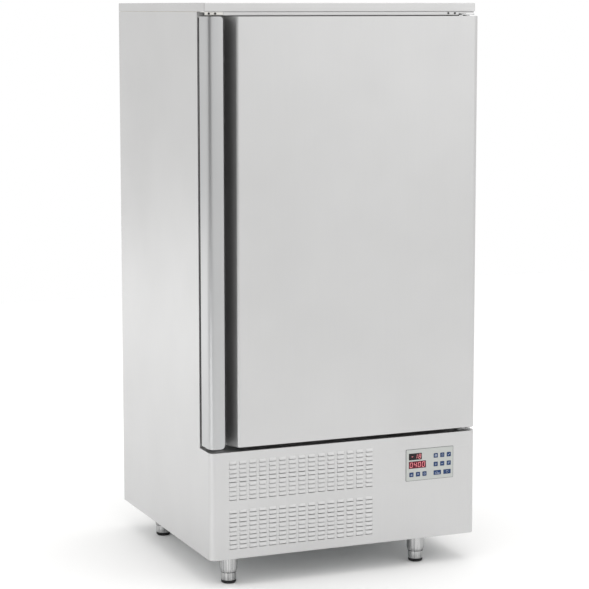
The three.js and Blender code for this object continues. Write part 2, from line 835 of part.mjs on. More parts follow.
function topBracket() {
  const plateZ = doorTopZ + bracketTop;
  const plateTopZ = plateZ + bracketThickness;
  return join(
    prismZ(hingePlan(), plateZ, plateTopZ),
    block(hingeX, insideX, frameY - bracketThickness, frameY, plateTopZ - bracketLeafHeight, plateTopZ),
    rod(collarRadius, doorTopZ + fitGap, plateZ, 12, hingeX, hingeY),
    rod(pinRadius, doorTopZ - pinReach, plateZ, 10, hingeX, hingeY),
  );
}

function bottomBracket() {
  const plateZ = ledgeZ + bracketThickness;
  return join(
    prismZ(hingePlan(), ledgeZ, plateZ),
    rod(collarRadius, plateZ, doorBottomZ - fitGap, 12, hingeX, hingeY),
    rod(pinRadius, plateZ, doorBottomZ + pinReach, 10, hingeX, hingeY),
  );
}

function doorSwitch() {
  const x0 = -halfWidth + switchInset;
  const plungerX = x0 + (switchWidth - plungerWidth) / 2;
  const z0 = doorTopZ + switchGap;
  const z1 = capZ - switchGap;
  const bodyY = frameY - switchDepth;
  return join(
    block(x0, x0 + switchWidth, bodyY, frameY, z0, z1),
    block(plungerX, plungerX + plungerWidth, bodyY - plungerReach, bodyY, z0 + switchGap, z1 - switchGap),
  );
}

// ---------------------------------------------------------------- cavity fittings

const rackRightX = cavityX; // the right rack hangs on the cavity's right wall
const rackLeftX = cavityX - 2 * postSize - trayWidth; // back of the left rack's posts
const rackFrontY = foamFrontY + rackFrontInset;
const rackRearY = cavityBackY - rackRearGap;
const postYs = [rackFrontY + postSize, rackRearY - 2 * postSize];

// A rack is two posts with a ladder of folded runners; toward is +1 when the runners point to +X.
function trayRack(backX, toward) {
  const webX = backX + toward * postSize;
  const shelfX = webX + toward * runnerShelf;
  const span = (a, b) => [Math.min(a, b), Math.max(a, b)];
  const postZ = [cavityFloorZ + coveRadius, cavityTopZ - coveRadius];
  const posts = postYs.map((y) =>
    block(...span(backX, webX), y, y + postSize, ...postZ));
  const runners = [];
  for (let level = 0; level < runnerCount; level += 1) {
    const z = cavityFloorZ + runnerFirst + level * runnerPitch;
    const angle = [
      [webX, z], [shelfX, z], [shelfX, z + runnerThickness],
      [webX + toward * runnerThickness, z + runnerThickness],
      [webX + toward * runnerThickness, z + runnerHeight], [webX, z + runnerHeight],
    ];
    runners.push(prismY(roundedOutline(toward > 0 ? angle : angle.reverse()), rackFrontY, rackRearY));
  }
  return join(...posts, ...runners);
}

const coverX = rackLeftX - lugLength; // face of the evaporator cover
const fanCentreZ = (cavityFloorZ + cavityTopZ) / 2;
const fanCentreY = (foamFrontY + cavityBackY) / 2;
const fanPlaces = { lower: fanCentreZ - fanPitch / 2, upper: fanCentreZ + fanPitch / 2 };

// Spacers carry the left rack on the evaporator cover.
function leftRack() {
  const rack = trayRack(rackLeftX, 1);
  const zs = [cavityFloorZ + runnerFirst, cavityTopZ - runnerFirst];
  const lugs = postYs.flatMap((y) => zs.map((z) =>
    block(coverX, rackLeftX, y, y + postSize, z - postSize / 2, z + postSize / 2)));
  return join(rack, ...lugs);
}

// The cover divides the cavity: air leaves through the fan openings and returns by slots front and rear.
function evaporatorCover() {
  const opening = fanRadius + fanClearance;
  const y0 = foamFrontY + coverSlot;
  const y1 = cavityBackY - coverSlot;
  const back = coverX - coverThickness;
  const edge = coverX - coverReturn;
  const channel = roundedOutline([
    [edge, y0], [coverX, y0], [coverX, y1], [edge, y1],
    [edge, y1 - coverThickness], [back, y1 - coverThickness],
    [back, y0 + coverThickness], [edge, y0 + coverThickness],
  ]);
  const plate = prismZ(channel, cavityFloorZ, cavityTopZ);
  return Object.values(fanPlaces).reduce((cover, z) => {
    const ring = (radius, x0, x1) => prismX(circle(radius, fanCentreY, z, 20), x0, x1);
    const collar = ring(opening + coverThickness, coverX - collarDepth, back + coverThickness / 2);
    return cut(join(cover, collar), ring(opening, coverX - collarDepth - 1, coverX + 1));
  }, plate);
}

// A window of the guard lies between two radii and two of the four spokes.
function guardWindow(inner, outer, quarter) {
  const half = (radius) => Math.asin(guardSpoke / 2 / radius);
  const from = (quarter * Math.PI) / 2;
  const span = (radius) => Math.PI / 2 - 2 * half(radius);
  return new THREE.Shape([
    ...arcPoints(0, 0, outer, from + half(outer), span(outer), 4),
    ...arcPoints(0, 0, inner, from + half(inner) + span(inner), -span(inner), 3),
  ]);
}

// Rings on four spokes, with the motor hanging in the middle and its shaft below it.
function fanGuard() {
  const opening = fanRadius + fanClearance;
  const rings = [
    [motorRadius, guardRing - guardRingWidth / 2], [guardRing + guardRingWidth / 2, opening - guardRim],
  ];
  const windows = rings.flatMap(([inner, outer]) => [0, 1, 2, 3].map((quarter) =>
    prismZ(guardWindow(inner, outer, quarter), -1, guardThickness + 1)));
  return join(
    cut(rod(opening + guardOverlap, 0, guardThickness, 16), ...windows),
    rod(motorRadius - 1, -motorLength, guardThickness / 2, 12),
    rod(shaftRadius, -motorLength - shaftLength, -motorLength / 2, shaftSides),
  );
}

// Blades are tilted plates on a hub; the axis is Z. The flats of the bore clear the corners of the shaft.
function impeller(radius, hubRadius, depth) {
  const spread = THREE.MathUtils.degToRad(bladeSpread);
  const root = hubRadius * bladeRoot;
  const bore = (shaftRadius + pinClearance) / Math.cos(Math.PI / shaftSides);
  const outline = new THREE.Shape([
    new THREE.Vector2(root, -hubRadius / 2),
    ...arcPoints(0, 0, radius, -spread / 2, spread, 4),
    new THREE.Vector2(root, hubRadius / 2),
  ]);
  const blade = extruded(outline, bladeThickness).translate(0, 0, -bladeThickness / 2)
    .rotateX(THREE.MathUtils.degToRad(bladeTilt)).translate(0, 0, depth / 2);
  const blades = Array.from({ length: bladeCount }, (_, index) =>
    solidOf(blade.clone().rotateZ((index / bladeCount) * Math.PI * 2)));
  return cut(
    join(rod(hubRadius, 0, depth, 12), ...blades),
    rod(bore, -1, depth + 1, shaftSides),
  );
}

function addEvaporatorFans() {
  Object.entries(fanPlaces).forEach(([level, z]) => {
    const unit = new THREE.Group();
    unit.position.set(coverX, fanCentreY, z);
    unit.rotation.y = Math.PI / 2;
    place(unit, `fan_guard_${level}`, fanGuard(), galvanised);
    const fan = place(unit, `evaporator_fan_${level}`,
      impeller(fanRadius, fanHubRadius, fanDepth), blackPlastic);
    fan.position.z = -motorLength - fitGap - fanDepth;
    chiller.add(unit);
  });
}

// A finned block is one comb section, a core with fins on both sides, along X from the given corner.
function finnedCorners(x0, y0, length, depth, core, finCount) {
  const pitch = (length - finThickness) / (finCount - 1);
  const groove = (depth - core) / 2;
  const corners = [];
  for (let fin = 0; fin < finCount; fin += 1) {
    const x = fin * pitch;
    if (fin > 0) corners.push([x, groove]);
    corners.push([x, 0], [x + finThickness, 0]);
    if (fin < finCount - 1) corners.push([x + finThickness, groove]);
  }
  const mirrored = corners.map(([x, y]) => [length - x, depth - y]);
  return [...corners, ...mirrored].map(([x, y]) => [x0 + x, y0 + y]);
}

// The evaporator stands on two legs between the cover and the left wall, its length along Y.
function evaporatorCoil() {
  const length = cavityBackY - foamFrontY - 2 * (coverSlot + coverReturn);
  const y0 = fanCentreY - length / 2;
  const x0 = -cavityX + coilWallGap;
  const x1 = coverX - motorLength - fitGap - fanDepth - coilFanGap;
  const z0 = cavityFloorZ + coilEndClearance;
  const z1 = cavityTopZ - coilEndClearance;
  const corners = finnedCorners(y0, -x1, length, x1 - x0, coilCore, coilFinCount).map(([y, x]) => [-x, y]);
  const leg = (y) => block(x1 - coilLegLength, x1 - finThickness, y, y + 2 * finThickness,
    cavityFloorZ, z0 + finThickness);
  return join(prismZ(roundedOutline(corners), z0, z1), leg(y0 + finThickness / 2),
    leg(y0 + length - 2.5 * finThickness));
}

// ---------------------------------------------------------------- machine compartment

const condenserX = -halfWidth + condenserInset;
const condenserY = frontY + condenserSetback;
const condenserZ = baseZ + panThickness;
const condenserFanX = condenserX + condenserWidth / 2;
const condenserFanZ = condenserZ + condenserHeight / 2;
const shroudY = condenserY + condenserDepth;

function condenserCoil() {
  const corners = finnedCorners(condenserX, condenserY, condenserWidth, condenserDepth,
    condenserCore, condenserFinCount);
  return prismZ(roundedOutline(corners), condenserZ, condenserZ + condenserHeight);
}

// The shroud's collar ducts the fan, and arms across its end carry the motor.
function fanShroud() {
  const opening = condenserFanRadius + condenserFanClearance;
  const half = [condenserWidth / 2, condenserHeight / 2];
  const endZ = shroudDepth + motorArmThickness;
  const arms = Array.from({ length: motorArmCount }, (_, index) => {
    const arm = boxGeometry(0, opening + shroudCollar / 2, -motorArmWidth / 2, motorArmWidth / 2,
      shroudDepth, endZ - motorArmThickness / 4);
    return solidOf(arm.rotateZ(Math.PI / 2 + (index / motorArmCount) * Math.PI * 2));
  });
  const duct = join(
    prismZ(rectangle(-half[0], half[0], -half[1], half[1]), 0, sheet),
    rod(opening + shroudCollar, sheet / 2, endZ, 20),
  );
  return join(
    cut(duct, rod(opening, -1, endZ + 1, 20)),
    ...arms,
    rod(condenserMotorRadius, shroudDepth, shroudDepth + condenserMotorLength, 12),
    rod(shaftRadius, shroudFanGap, shroudDepth + motorArmThickness, shaftSides),
  );
}

function addCondenserFan() {
  const unit = new THREE.Group();
  unit.position.set(condenserFanX, shroudY, condenserFanZ);
  unit.rotation.x = -Math.PI / 2;
  place(unit, 'fan_shroud', fanShroud(), galvanised);
  const fan = place(unit, 'condenser_fan',
    impeller(condenserFanRadius, condenserMotorRadius, shroudDepth - fitGap - shroudFanGap), blackPlastic);
  fan.position.z = shroudFanGap;
  chiller.add(unit);
}

const compressorZ = baseZ + panThickness;
const compressorTopZ = compressorZ + compressorFootHeight + compressorHeight;

// A welded can on a foot plate, with a terminal cover at its front and two stubs on its shoulder.
function compressor() {
  const [x, y] = compressorPlace;
  const r = compressorRadius;
  const low = compressorZ + compressorFootHeight;
  const high = compressorTopZ;
  const [plateX, plateY, plateThickness] = compressorPlate;
  const [coverWidth, coverDepth, coverHeight] = terminalCover;
  const can = turned([
    [0, low - plateThickness / 2], [r * 0.8, low - plateThickness / 2], [r, low + r * 0.3],
    [r, high - r * 0.5], [r * 0.85, high - r * 0.2], [0, high],
  ], 16, x, y);
  const plate = block(x - plateX, x + plateX, y - plateY, y + plateY, low - plateThickness, low);
  const feet = [-1, 1].flatMap((sideX) => [-1, 1].map((sideY) => rod(
    compressorFootRadius, compressorZ, low - plateThickness / 2, 8,
    x + sideX * compressorFootInset[0], y + sideY * compressorFootInset[1],
  )));
  const stub = (side) => rod(dischargeRadius + stubWall, high - r * 0.5, high + stubHeight, 8,
    x + side * stubInset, y);
  const coverZ = low + r * 0.7;
  const terminals = block(x - coverWidth / 2, x + coverWidth / 2, y - r - coverDepth, y - r * 0.8,
    coverZ, coverZ + coverHeight);
  return join(can, plate, ...feet, stub(-1), stub(1), terminals);
}

function liquidReceiver() {
  const r = receiverRadius;
  const z0 = compressorZ;
  const z1 = z0 + receiverHeight;
  return turned([
    [0, z0 + receiverSkirt], [r * 0.6, z0 + receiverSkirt], [r * 0.6, z0], [r * 0.9, z0],
    [r * 0.9, z0 + receiverSkirt], [r, z0 + 2 * receiverSkirt],
    [r, z1 - r * 0.4], [r * 0.7, z1 - r * 0.1], [0, z1],
  ], 12, ...receiverPlace);
}

// A path whose rings stand at given stations, so that a straight run needs none between its ends.
class StationPath extends THREE.Curve {
  constructor(stations) {
    super();
    this.stations = stations;
  }

  getPointAt(along) {
    return this.stations[Math.round(along * (this.stations.length - 1))].clone();
  }

  getTangentAt(along) {
    const index = Math.round(along * (this.stations.length - 1));
    const before = this.stations[Math.max(index - 1, 0)];
    const after = this.stations[Math.min(index + 1, this.stations.length - 1)];
    return after.clone().sub(before).normalize();
  }
}

// A pipe follows straight runs between its corners, with a rounded bend at each.
function pipe(points, radius) {
  const corners = points.map((point) => new THREE.Vector3(...point));
  const stations = corners.flatMap((corner, index) => {
    if (index === 0 || index === corners.length - 1) return [corner];
    const reach = (neighbour) => neighbour.clone().sub(corner).setLength(pipeBend).add(corner);
    const bend = new THREE.QuadraticBezierCurve3(
      reach(corners[index - 1]), corner, reach(corners[index + 1]));
    return bend.getPoints(pipeBendSteps);
  });
  return solidOf(new THREE.ExtrudeGeometry(circle(radius, 0, 0, pipeSides), {
    extrudePath: new StationPath(stations), steps: stations.length - 1, bevelEnabled: false,
  }));
}

function suctionLine() {
  const [x, y] = compressorPlace;
  const start = compressorTopZ + stubHeight + pipeGap;
  return pipe([[x + stubInset, y, start], [x + stubInset, y, ledgeZ - pipeGap]], suctionRadius);
}

function dischargeLine() {
  const [compressorX, y] = compressorPlace;
  const x = compressorX - stubInset;
  const start = compressorTopZ + stubHeight + pipeGap;
  const high = start + pipeStub + pipeBend;
  const endX = condenserX + condenserWidth + pipeGap;
  const endY = condenserY + condenserDepth / 2;
  const endZ = condenserZ + condenserHeight - pipeBend;
  return pipe([[x, y, start], [x, y, high], [x, endY, high], [x, endY, endZ], [endX, endY, endZ]],
    dischargeRadius);
}

// ---------------------------------------------------------------- assembly

place(chiller, 'left_side_panel', sidePanel(-1), satinSteel);
place(chiller, 'right_side_panel', sidePanel(1), satinSteel);
place(chiller, 'rear_panel', rearPanel(), galvanised);
place(chiller, 'top_cap', topCap(), satinSteel);
place(chiller, 'cabinet_insulation', insulation(), foamYellow);
place(chiller, 'inner_liner', innerLiner(), satinSteel);
place(chiller, 'front_frame', frontFrame(), satinSteel);
place(chiller, 'machine_front_panel', machineFrontPanel(), satinSteel);
place(chiller, 'base_pan', basePan(), galvanised);
place(chiller, 'cavity_drain', cavityDrain(), blackPlastic);

const gland = place(chiller, 'cable_gland', cableGland(), blackPlastic);
gland.rotation.x = -Math.PI / 2;
gland.position.set(glandPlace[0], rearFaceY, glandPlace[1]);

place(chiller, 'controller_plate', controllerPlate(), plateGrey);
place(chiller, 'control_box', controlBox(), blackPlastic);
place(chiller, 'display_board', displayBoard(), displayDark);
addKeys();
addFeet();

place(chiller, 'door_skin', doorSkin(), satinSteel);
place(chiller, 'door_grip', doorGrip(), gripSteel);
place(chiller, 'door_insulation', doorInsulation(), foamYellow);
place(chiller, 'door_liner', doorLiner(), satinSteel);
place(chiller, 'door_gasket', doorGasket(), gasketGrey);
place(chiller, 'hinge_bracket_top', topBracket(), footSteel);
place(chiller, 'hinge_bracket_bottom', bottomBracket(), footSteel);
place(chiller, 'door_switch', doorSwitch(), whitePlastic);

place(chiller, 'tray_rack_left', leftRack(), footSteel);
place(chiller, 'tray_rack_right', trayRack(rackRightX, -1), footSteel);
place(chiller, 'evaporator_cover', evaporatorCover(), satinSteel);
place(chiller, 'evaporator_coil', evaporatorCoil(), finAluminium);
addEvaporatorFans();

place(chiller, 'condenser_coil', condenserCoil(), finAluminium);
addCondenserFan();
place(chiller, 'compressor', compressor(), compressorBlack);
place(chiller, 'liquid_receiver', liquidReceiver(), compressorBlack);
place(chiller, 'suction_line', suctionLine(), copper);
place(chiller, 'discharge_line', dischargeLine(), copper);

export default chiller;
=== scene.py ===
# %% [markdown]
# # An upright blast chiller
# This lesson dresses a finished construction model in Blender. The construction model says where every
# piece is and how the door, keys, fans and feet move. Here each piece gets its fine edges and its finish:
# satin steel, rubber, film, plastic, copper and aluminium. All sizes are millimetres until a mesh is made.

# %% Load the frame
import math
import bmesh
import bpy
from mathutils import Matrix, Vector
from mathutils.geometry import tessellate_polygon


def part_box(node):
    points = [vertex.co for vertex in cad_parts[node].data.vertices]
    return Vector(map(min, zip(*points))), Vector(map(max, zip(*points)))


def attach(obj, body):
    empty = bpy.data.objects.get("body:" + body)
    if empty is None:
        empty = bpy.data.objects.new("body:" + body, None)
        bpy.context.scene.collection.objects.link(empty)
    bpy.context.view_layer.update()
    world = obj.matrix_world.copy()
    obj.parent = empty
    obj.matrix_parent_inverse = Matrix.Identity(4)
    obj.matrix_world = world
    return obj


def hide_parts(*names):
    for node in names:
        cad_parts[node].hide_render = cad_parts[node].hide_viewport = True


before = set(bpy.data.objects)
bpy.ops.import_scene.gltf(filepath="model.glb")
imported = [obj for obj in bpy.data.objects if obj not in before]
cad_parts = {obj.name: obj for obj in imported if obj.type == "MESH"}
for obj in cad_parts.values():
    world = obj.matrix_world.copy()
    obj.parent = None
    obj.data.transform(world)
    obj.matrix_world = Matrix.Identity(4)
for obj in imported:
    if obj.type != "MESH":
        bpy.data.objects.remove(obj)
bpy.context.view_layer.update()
MM, PI = 0.001, math.pi

# %% [markdown]
# The camera comes first, because every later choice is judged through it. It stands to the left of the
# middle and a little above the object. A long lens keeps the upright edges nearly parallel, and a small
# shift does the rest, so that the picture is framed as a product photograph is.

# %% The camera
camera = bpy.data.objects.new("camera", bpy.data.cameras.new("camera"))
camera.data.sensor_width = 36
camera.data.lens = 122.85
camera.data.shift_y = -0.051
camera.location = (-2.2315, -5.3302, 1.5637)
camera.rotation_euler = [math.radians(angle) for angle in (82.7, 0.034, -22.747)]
bpy.context.scene.collection.objects.link(camera)
bpy.context.scene.camera = camera
bpy.context.scene.view_settings.view_transform = "Standard"
print("camera", round(camera.location.length, 2), "m from the origin")

# %% [markdown]
# Outlines come next. An outline is a list of corners that runs anticlockwise, and a corner may have a
# radius. Sheet metal has no truly sharp corner, so most outlines here use one.


# %% Outlines
def polar(radius, angle):
    return radius * math.cos(angle), radius * math.sin(angle)


def arc(x, y, radius, start, turn, steps=8):
    """Points along an arc, its two ends included."""
    offsets = [polar(radius, start + turn * step / steps) for step in range(steps + 1)]
    return [(x + u, y + v) for u, v in offsets]


def round_hole(x, y, radius, steps=24):
    return arc(x, y, radius, 0, math.tau, steps)[:-1]


def rounded(corners, steps=8):
    """An outline through [x, y] or [x, y, radius] corners."""
    points = []
    for index, corner in enumerate(corners):
        at = Vector(corner[:2])
        radius = corner[2] if len(corner) > 2 else 0
        if radius == 0:
            points.append(tuple(at))
            continue
        before = (Vector(corners[index - 1][:2]) - at).normalized()
        after = (Vector(corners[(index + 1) % len(corners)][:2]) - at).normalized()
        half = before.angle(after) / 2
        start = at + before * radius / math.tan(half)
        centre = at + (before + after).normalized() * radius / math.sin(half)
        side = -1 if before.x * after.y - before.y * after.x > 0 else 1
        from_angle = math.atan2(start.y - centre.y, start.x - centre.x)
        points += arc(centre.x, centre.y, radius, from_angle, side * (PI - 2 * half), steps)
    return points


def rectangle(x0, x1, y0, y1, radius=0, steps=8):
    return rounded([(x0, y0, radius), (x1, y0, radius), (x1, y1, radius), (x0, y1, radius)], steps)


def inset(outline, distance):
    """The same outline moved inward by a distance."""
    moved_in = []
    for index, point in enumerate(outline):
        here = Vector(point)
        into = (here - Vector(outline[index - 1])).normalized()
        out = (Vector(outline[(index + 1) % len(outline)]) - here).normalized()
        left = Vector((-into.y - out.y, into.x + out.x))
        moved_in.append(tuple(here + left * distance / (1 + into.dot(out))))
    return moved_in


print(len(rectangle(0, 10, 0, 10, 2)), "points in a rounded square")

# %% [markdown]
# A loft joins rings of points with faces, and nearly every piece here is a loft or a few of them together.
# The alternative, Blender's primitives with modifiers, is quicker for a box but hard to steer to a real
# profile. `place` stands a flat ring across an axis, and `lay` turns a whole part made along z.


# %% Lofts and turned forms
OPEN = (False, False)


def place(ring, axis, height):
    """Stands an outline across an axis at a height along it."""
    at = "xyz".index(axis)
    return [(*point[:at], height, *point[at:]) for point in ring]


def loft(rings, closed=True, caps=(True, True)):
    """Faces between rings of equal length, as (points, faces)."""
    count = len(rings[0])
    points = [point for ring in rings for point in ring]
    faces = []
    for level in range(len(rings) - 1):
        for i in range(count if closed else count - 1):
            a, b = level * count + i, level * count + (i + 1) % count
            faces.append((a, b, b + count, a + count))
    if caps[0]:
        faces.append(tuple(range(count)))
    if caps[1]:
        faces.append(tuple(range(len(points) - count, len(points))))
    return points, faces


def quarters(low, high, radius, steps=3):
    """(depth, height) levels between two heights, drawn in along a quarter circle at both ends."""
    turns = [PI / 2 * step / steps for step in range(steps + 1)]
    start = [(radius * (1 - math.sin(q)), low + radius * (1 - math.cos(q))) for q in turns]
    return start + [(depth, low + high - height) for depth, height in reversed(start)]


def bar(outline, axis, low, high, edge=0):
    """A prism between two heights, its end edges rounded over."""
    levels = quarters(low, high, edge) if edge else [(0, low), (0, high)]
    return loft([place(inset(outline, depth) if depth else outline, axis, z) for depth, z in levels])


def turned(profile, x=0, y=0, steps=48, caps=(True, True)):
    """A form of revolution about an upright axis through [radius, z] points."""
    circle = [math.tau * step / steps for step in range(steps)]
    return loft([[(x + r * math.cos(a), y + r * math.sin(a), z) for a in circle] for r, z in profile],
                caps=caps)


def hollow(profile, x=0, y=0, steps=48):
    """A turned form with a hole through it: its profile closes on itself."""
    return turned(profile + profile[:1], x, y, steps, OPEN)


def together(*parts):
    """Several (points, faces) in one."""
    points, faces = [], []
    for part_points, part_faces in parts:
        faces += [tuple(index + len(points) for index in face) for face in part_faces]
        points += part_points
    return points, faces


def moved(part, change):
    """The same part with every point changed."""
    return [tuple(change(Vector(point))) for point in part[0]], part[1]


def lay(part, axis, x, y, z):
    """A part made along z, laid along x, y or -y and set at a place."""
    ways = {"x": lambda p: (p.z, -p.x, p.y), "y": lambda p: (p.x, p.z, -p.y),
            "-y": lambda p: (p.x, -p.z, p.y)}
    return moved(part, lambda p: Vector(ways[axis](p)) + Vector((x, y, z)))


print(len(turned([(5, 0), (5, 9)])[0]), "points in a short pin")

# %% [markdown]
# `make` turns points and faces into an object: it welds the seams, makes all faces look outward, adds the
# modifiers that are asked for and shades by angle. It also hides the construction nodes that the piece stands
# for, parents it to the empty of the body it rides on and gives it its finish. `facing` settles which way an
# open sheet looks.


# %% Making a piece
def outward(mesh, facing):
    """Faces look outward; on an open sheet the largest face looks along facing."""
    work = bmesh.new()
    work.from_mesh(mesh)
    bmesh.ops.remove_doubles(work, verts=work.verts, dist=0.002 * MM)
    bmesh.ops.recalc_face_normals(work, faces=work.faces)
    if facing:
        largest = max(work.faces, key=lambda face: face.calc_area())
        if largest.normal.dot(Vector(facing)) < 0:
            bmesh.ops.reverse_faces(work, faces=work.faces)
    work.to_mesh(mesh)
    work.free()


def modify(target, name, kind, **settings):
    modifier = target.modifiers.new(name, kind)
    for label, value in settings.items():
        setattr(modifier, label, value)


def soften(target, name, width, angle):
    """Rounds all edges that are sharper than an angle."""
    modify(target, name, "BEVEL", width=width * MM, segments=3, limit_method="ANGLE",
           angle_limit=math.radians(angle), harden_normals=True)


def paint(mesh, material, sharp=35):
    """One material, smooth but for edges sharper than an angle."""
    mesh.materials.clear()
    mesh.materials.append(material)
    mesh.shade_smooth()
    mesh.set_sharp_from_angle(angle=math.radians(sharp))


def make(name, part, material, *stands_for, body="cabinet", facing=None, wall=0, edge=0, sharp=35,
         even=False):
    """One dressed object. wall thickens a sheet inward, edge rounds its folds, even keeps flats even."""
    mesh = bpy.data.meshes.new(name)
    mesh.from_pydata([Vector(point) * MM for point in part[0]], [], part[1])
    outward(mesh, facing)
    paint(mesh, material, sharp)
    made = bpy.data.objects.new(name, mesh)
    bpy.context.scene.collection.objects.link(made)
    if edge:
        soften(made, "folds", edge, 50)
    if wall:
        modify(made, "sheet", "SOLIDIFY", thickness=wall * MM, offset=-1)
    if even:
        modify(made, "flats", "WEIGHTED_NORMAL", weight=100, keep_sharp=True)
    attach(made, body)
    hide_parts(*stands_for)
    return made


# %% [markdown]
# ## Finishes
# Satin steel is not one grey: rolling and belt grinding leave fine lines along the sheet, and broad, very
# faint clouds. Many finishes use both, so each is a node group with its own numbers in each material.
# Object coordinates are real metres here, which keeps the grain the same size on every piece.


# %% Node groups
def add(tree, kind, inputs=(), **settings):
    """A shader node with its settings; each input is linked from a socket or set to a value."""
    node = tree.nodes.new(f"ShaderNode{kind}")
    for label, value in settings.items():
        setattr(node, label, value)
    for label, value in dict(inputs).items():
        if isinstance(value, bpy.types.NodeSocket):
            tree.links.new(value, node.inputs[label])
        else:
            node.inputs[label].default_value = value
    return node


def pattern(name, detail):
    """A group: noise on stretched object coordinates, spread between two values."""
    tree = bpy.data.node_groups.new(name, "ShaderNodeTree")
    for label, kind in (("Stretch", "Vector"), ("Scale", "Float"), ("Low", "Float"), ("High", "Float")):
        tree.interface.new_socket(label, in_out="INPUT", socket_type=f"NodeSocket{kind}")
    tree.interface.new_socket("Pattern", in_out="OUTPUT", socket_type="NodeSocketFloat")
    given = tree.nodes.new("NodeGroupInput").outputs
    where = add(tree, "Mapping", {"Vector": add(tree, "TexCoord").outputs["Object"],
                                  "Scale": given["Stretch"]})
    noise = add(tree, "TexNoise", {"Vector": where.outputs["Vector"], "Scale": given["Scale"],
                                   "Detail": detail})
    spread = add(tree, "MapRange", {"Value": noise.outputs["Fac"], "From Min": 0.25, "From Max": 0.75,
                                    "To Min": given["Low"], "To Max": given["High"]})
    tree.links.new(spread.outputs["Result"], tree.nodes.new("NodeGroupOutput").inputs["Pattern"])
    return tree


grain, clouds = pattern("ground grain", 3), pattern("faint clouds", 2)
print("groups:", grain.name, "and", clouds.name)

# %% [markdown]
# `finish` builds one material. Colour varies between two shades by the clouds, roughness between two values
# by the grain, and the same grain feeds a very small bump. Ground steel gets long lines; moulded plastic
# and rubber use the same recipe with an even, finer stretch, which reads as a moulded skin.

# %% The recipe for a finish
EVEN, UPRIGHT, LEVEL = (1.0, 1.0, 1.0), (1.0, 1.0, 0.012), (0.012, 1.0, 1.0)


def effect(tree, source, stretch, scale, low=0.0, high=1.0):
    """One use of a shared group with its own numbers."""
    numbers = {"Stretch": stretch, "Scale": scale, "Low": low, "High": high}
    return add(tree, "Group", numbers, node_tree=source).outputs["Pattern"]


def finish(name, dark, light, rough, slot=None, stretch=EVEN, scale=900.0, bump=0.1, depth=0.00002,
           cloud_scale=4.0, cloud_stretch=EVEN, **sockets):
    """A material whose colour runs from dark to light and whose roughness runs through rough."""
    material = bpy.data.materials.new(name)
    material.use_nodes = True
    tree = material.node_tree
    shader = tree.nodes["Principled BSDF"]
    for label, value in sockets.items():
        shader.inputs[label.replace("_", " ")].default_value = value
    colour = add(tree, "Mix", {"Factor": effect(tree, clouds, cloud_stretch, cloud_scale),
                               "A": (*dark, 1), "B": (*light, 1)}, data_type="RGBA")
    raised = add(tree, "Bump", {"Strength": bump, "Distance": depth,
                                "Height": effect(tree, grain, stretch, scale)})
    for label, socket in (("Base Color", colour.outputs["Result"]), ("Normal", raised.outputs["Normal"]),
                          ("Roughness", effect(tree, grain, stretch, scale, *rough))):
        tree.links.new(socket, shader.inputs[label])
    material["slot"] = slot or name
    return material


def satin_finish(name, stretch):
    return finish(name, (0.57, 0.571, 0.573), (0.60, 0.601, 0.603), (0.42, 0.48), "satin_steel", stretch,
                  scale=700.0, bump=0.04, Metallic=1.0)


satin = satin_finish("satin_steel", UPRIGHT)
satin_level = satin_finish("satin_steel_level", LEVEL)
grip_steel = finish("grip_steel", (0.465, 0.47, 0.475), (0.495, 0.50, 0.505), (0.33, 0.39),
                    stretch=UPRIGHT, scale=600.0, bump=0.06, Metallic=1.0)
bright = finish("polished_steel", (0.50, 0.505, 0.51), (0.58, 0.585, 0.59), (0.16, 0.24),
                stretch=(1.0, 1.0, 4.0), scale=300.0, bump=0.08, Metallic=1.0)
# painted reflection: the upright dark and light streaks in the feet's steel colour stand in for reflections
# on polished turned steel
foot_steel_painted_reflections = finish("foot_steel_painted_reflections", (0.20, 0.205, 0.21), (0.70, 0.70, 0.70), (0.20, 0.34), "polished_steel",
                    (1.0, 1.0, 0.01), 500.0, cloud_scale=170.0, cloud_stretch=(1.0, 1.0, 0.02),
                    Metallic=1.0)
print("steels made")

# %% [markdown]
# The remaining finishes use the same recipe. Rubber and plastic shine little, so their specular level is set
# low where a black has to stay black beside white surroundings. The lit digits give off a little light.

# %% The other finishes
rubber = finish("seal_rubber", (0.012, 0.012, 0.013), (0.020, 0.020, 0.021), (0.60, 0.72), scale=1500.0,
                bump=0.3, Specular_IOR_Level=0.25)
black = finish("black_plastic", (0.014, 0.014, 0.015), (0.022, 0.022, 0.023), (0.42, 0.52), scale=1800.0,
               bump=0.25)
white = finish("white_plastic", (0.70, 0.69, 0.66), (0.76, 0.75, 0.72), (0.38, 0.46), scale=1800.0, bump=0.2)
plate_film = finish("plate_film", (0.43, 0.447, 0.432), (0.455, 0.472, 0.457), (0.40, 0.48), scale=2500.0,
                    bump=0.2)
key_film = finish("key_film", (0.018, 0.042, 0.118), (0.024, 0.052, 0.14), (0.38, 0.46), scale=2500.0,
                  bump=0.2, Specular_IOR_Level=0.2)
key_sign = finish("key_sign", (0.50, 0.56, 0.66), (0.54, 0.60, 0.70), (0.40, 0.48), "plate_film",
                  scale=2500.0)
edge_grey = finish("plate_edge", (0.16, 0.17, 0.17), (0.20, 0.21, 0.21), (0.45, 0.55), "plate_film",
                   scale=2500.0)
window = finish("display_window", (0.010, 0.008, 0.009), (0.016, 0.010, 0.012), (0.06, 0.12), scale=400.0,
                bump=0.0, Specular_IOR_Level=0.25)
red_window = finish("display_window_red", (0.085, 0.007, 0.018), (0.105, 0.009, 0.022), (0.06, 0.12),
                    "display_window", scale=400.0, bump=0.0, Specular_IOR_Level=0.25)
card_green = finish("circuit_card", (0.010, 0.060, 0.030), (0.014, 0.080, 0.040), (0.35, 0.50),
                    "display_window")
digit_glow = finish("digit_glow", (0.50, 0.10, 0.10), (0.56, 0.12, 0.12), (0.40, 0.50), "display_window",
                    Emission_Color=(1.0, 0.36, 0.40, 1), Emission_Strength=0.8)
foam = finish("rigid_foam", (0.70, 0.62, 0.38), (0.78, 0.71, 0.47), (0.80, 0.95), scale=700.0, bump=0.8,
              depth=0.0004, cloud_scale=20.0)
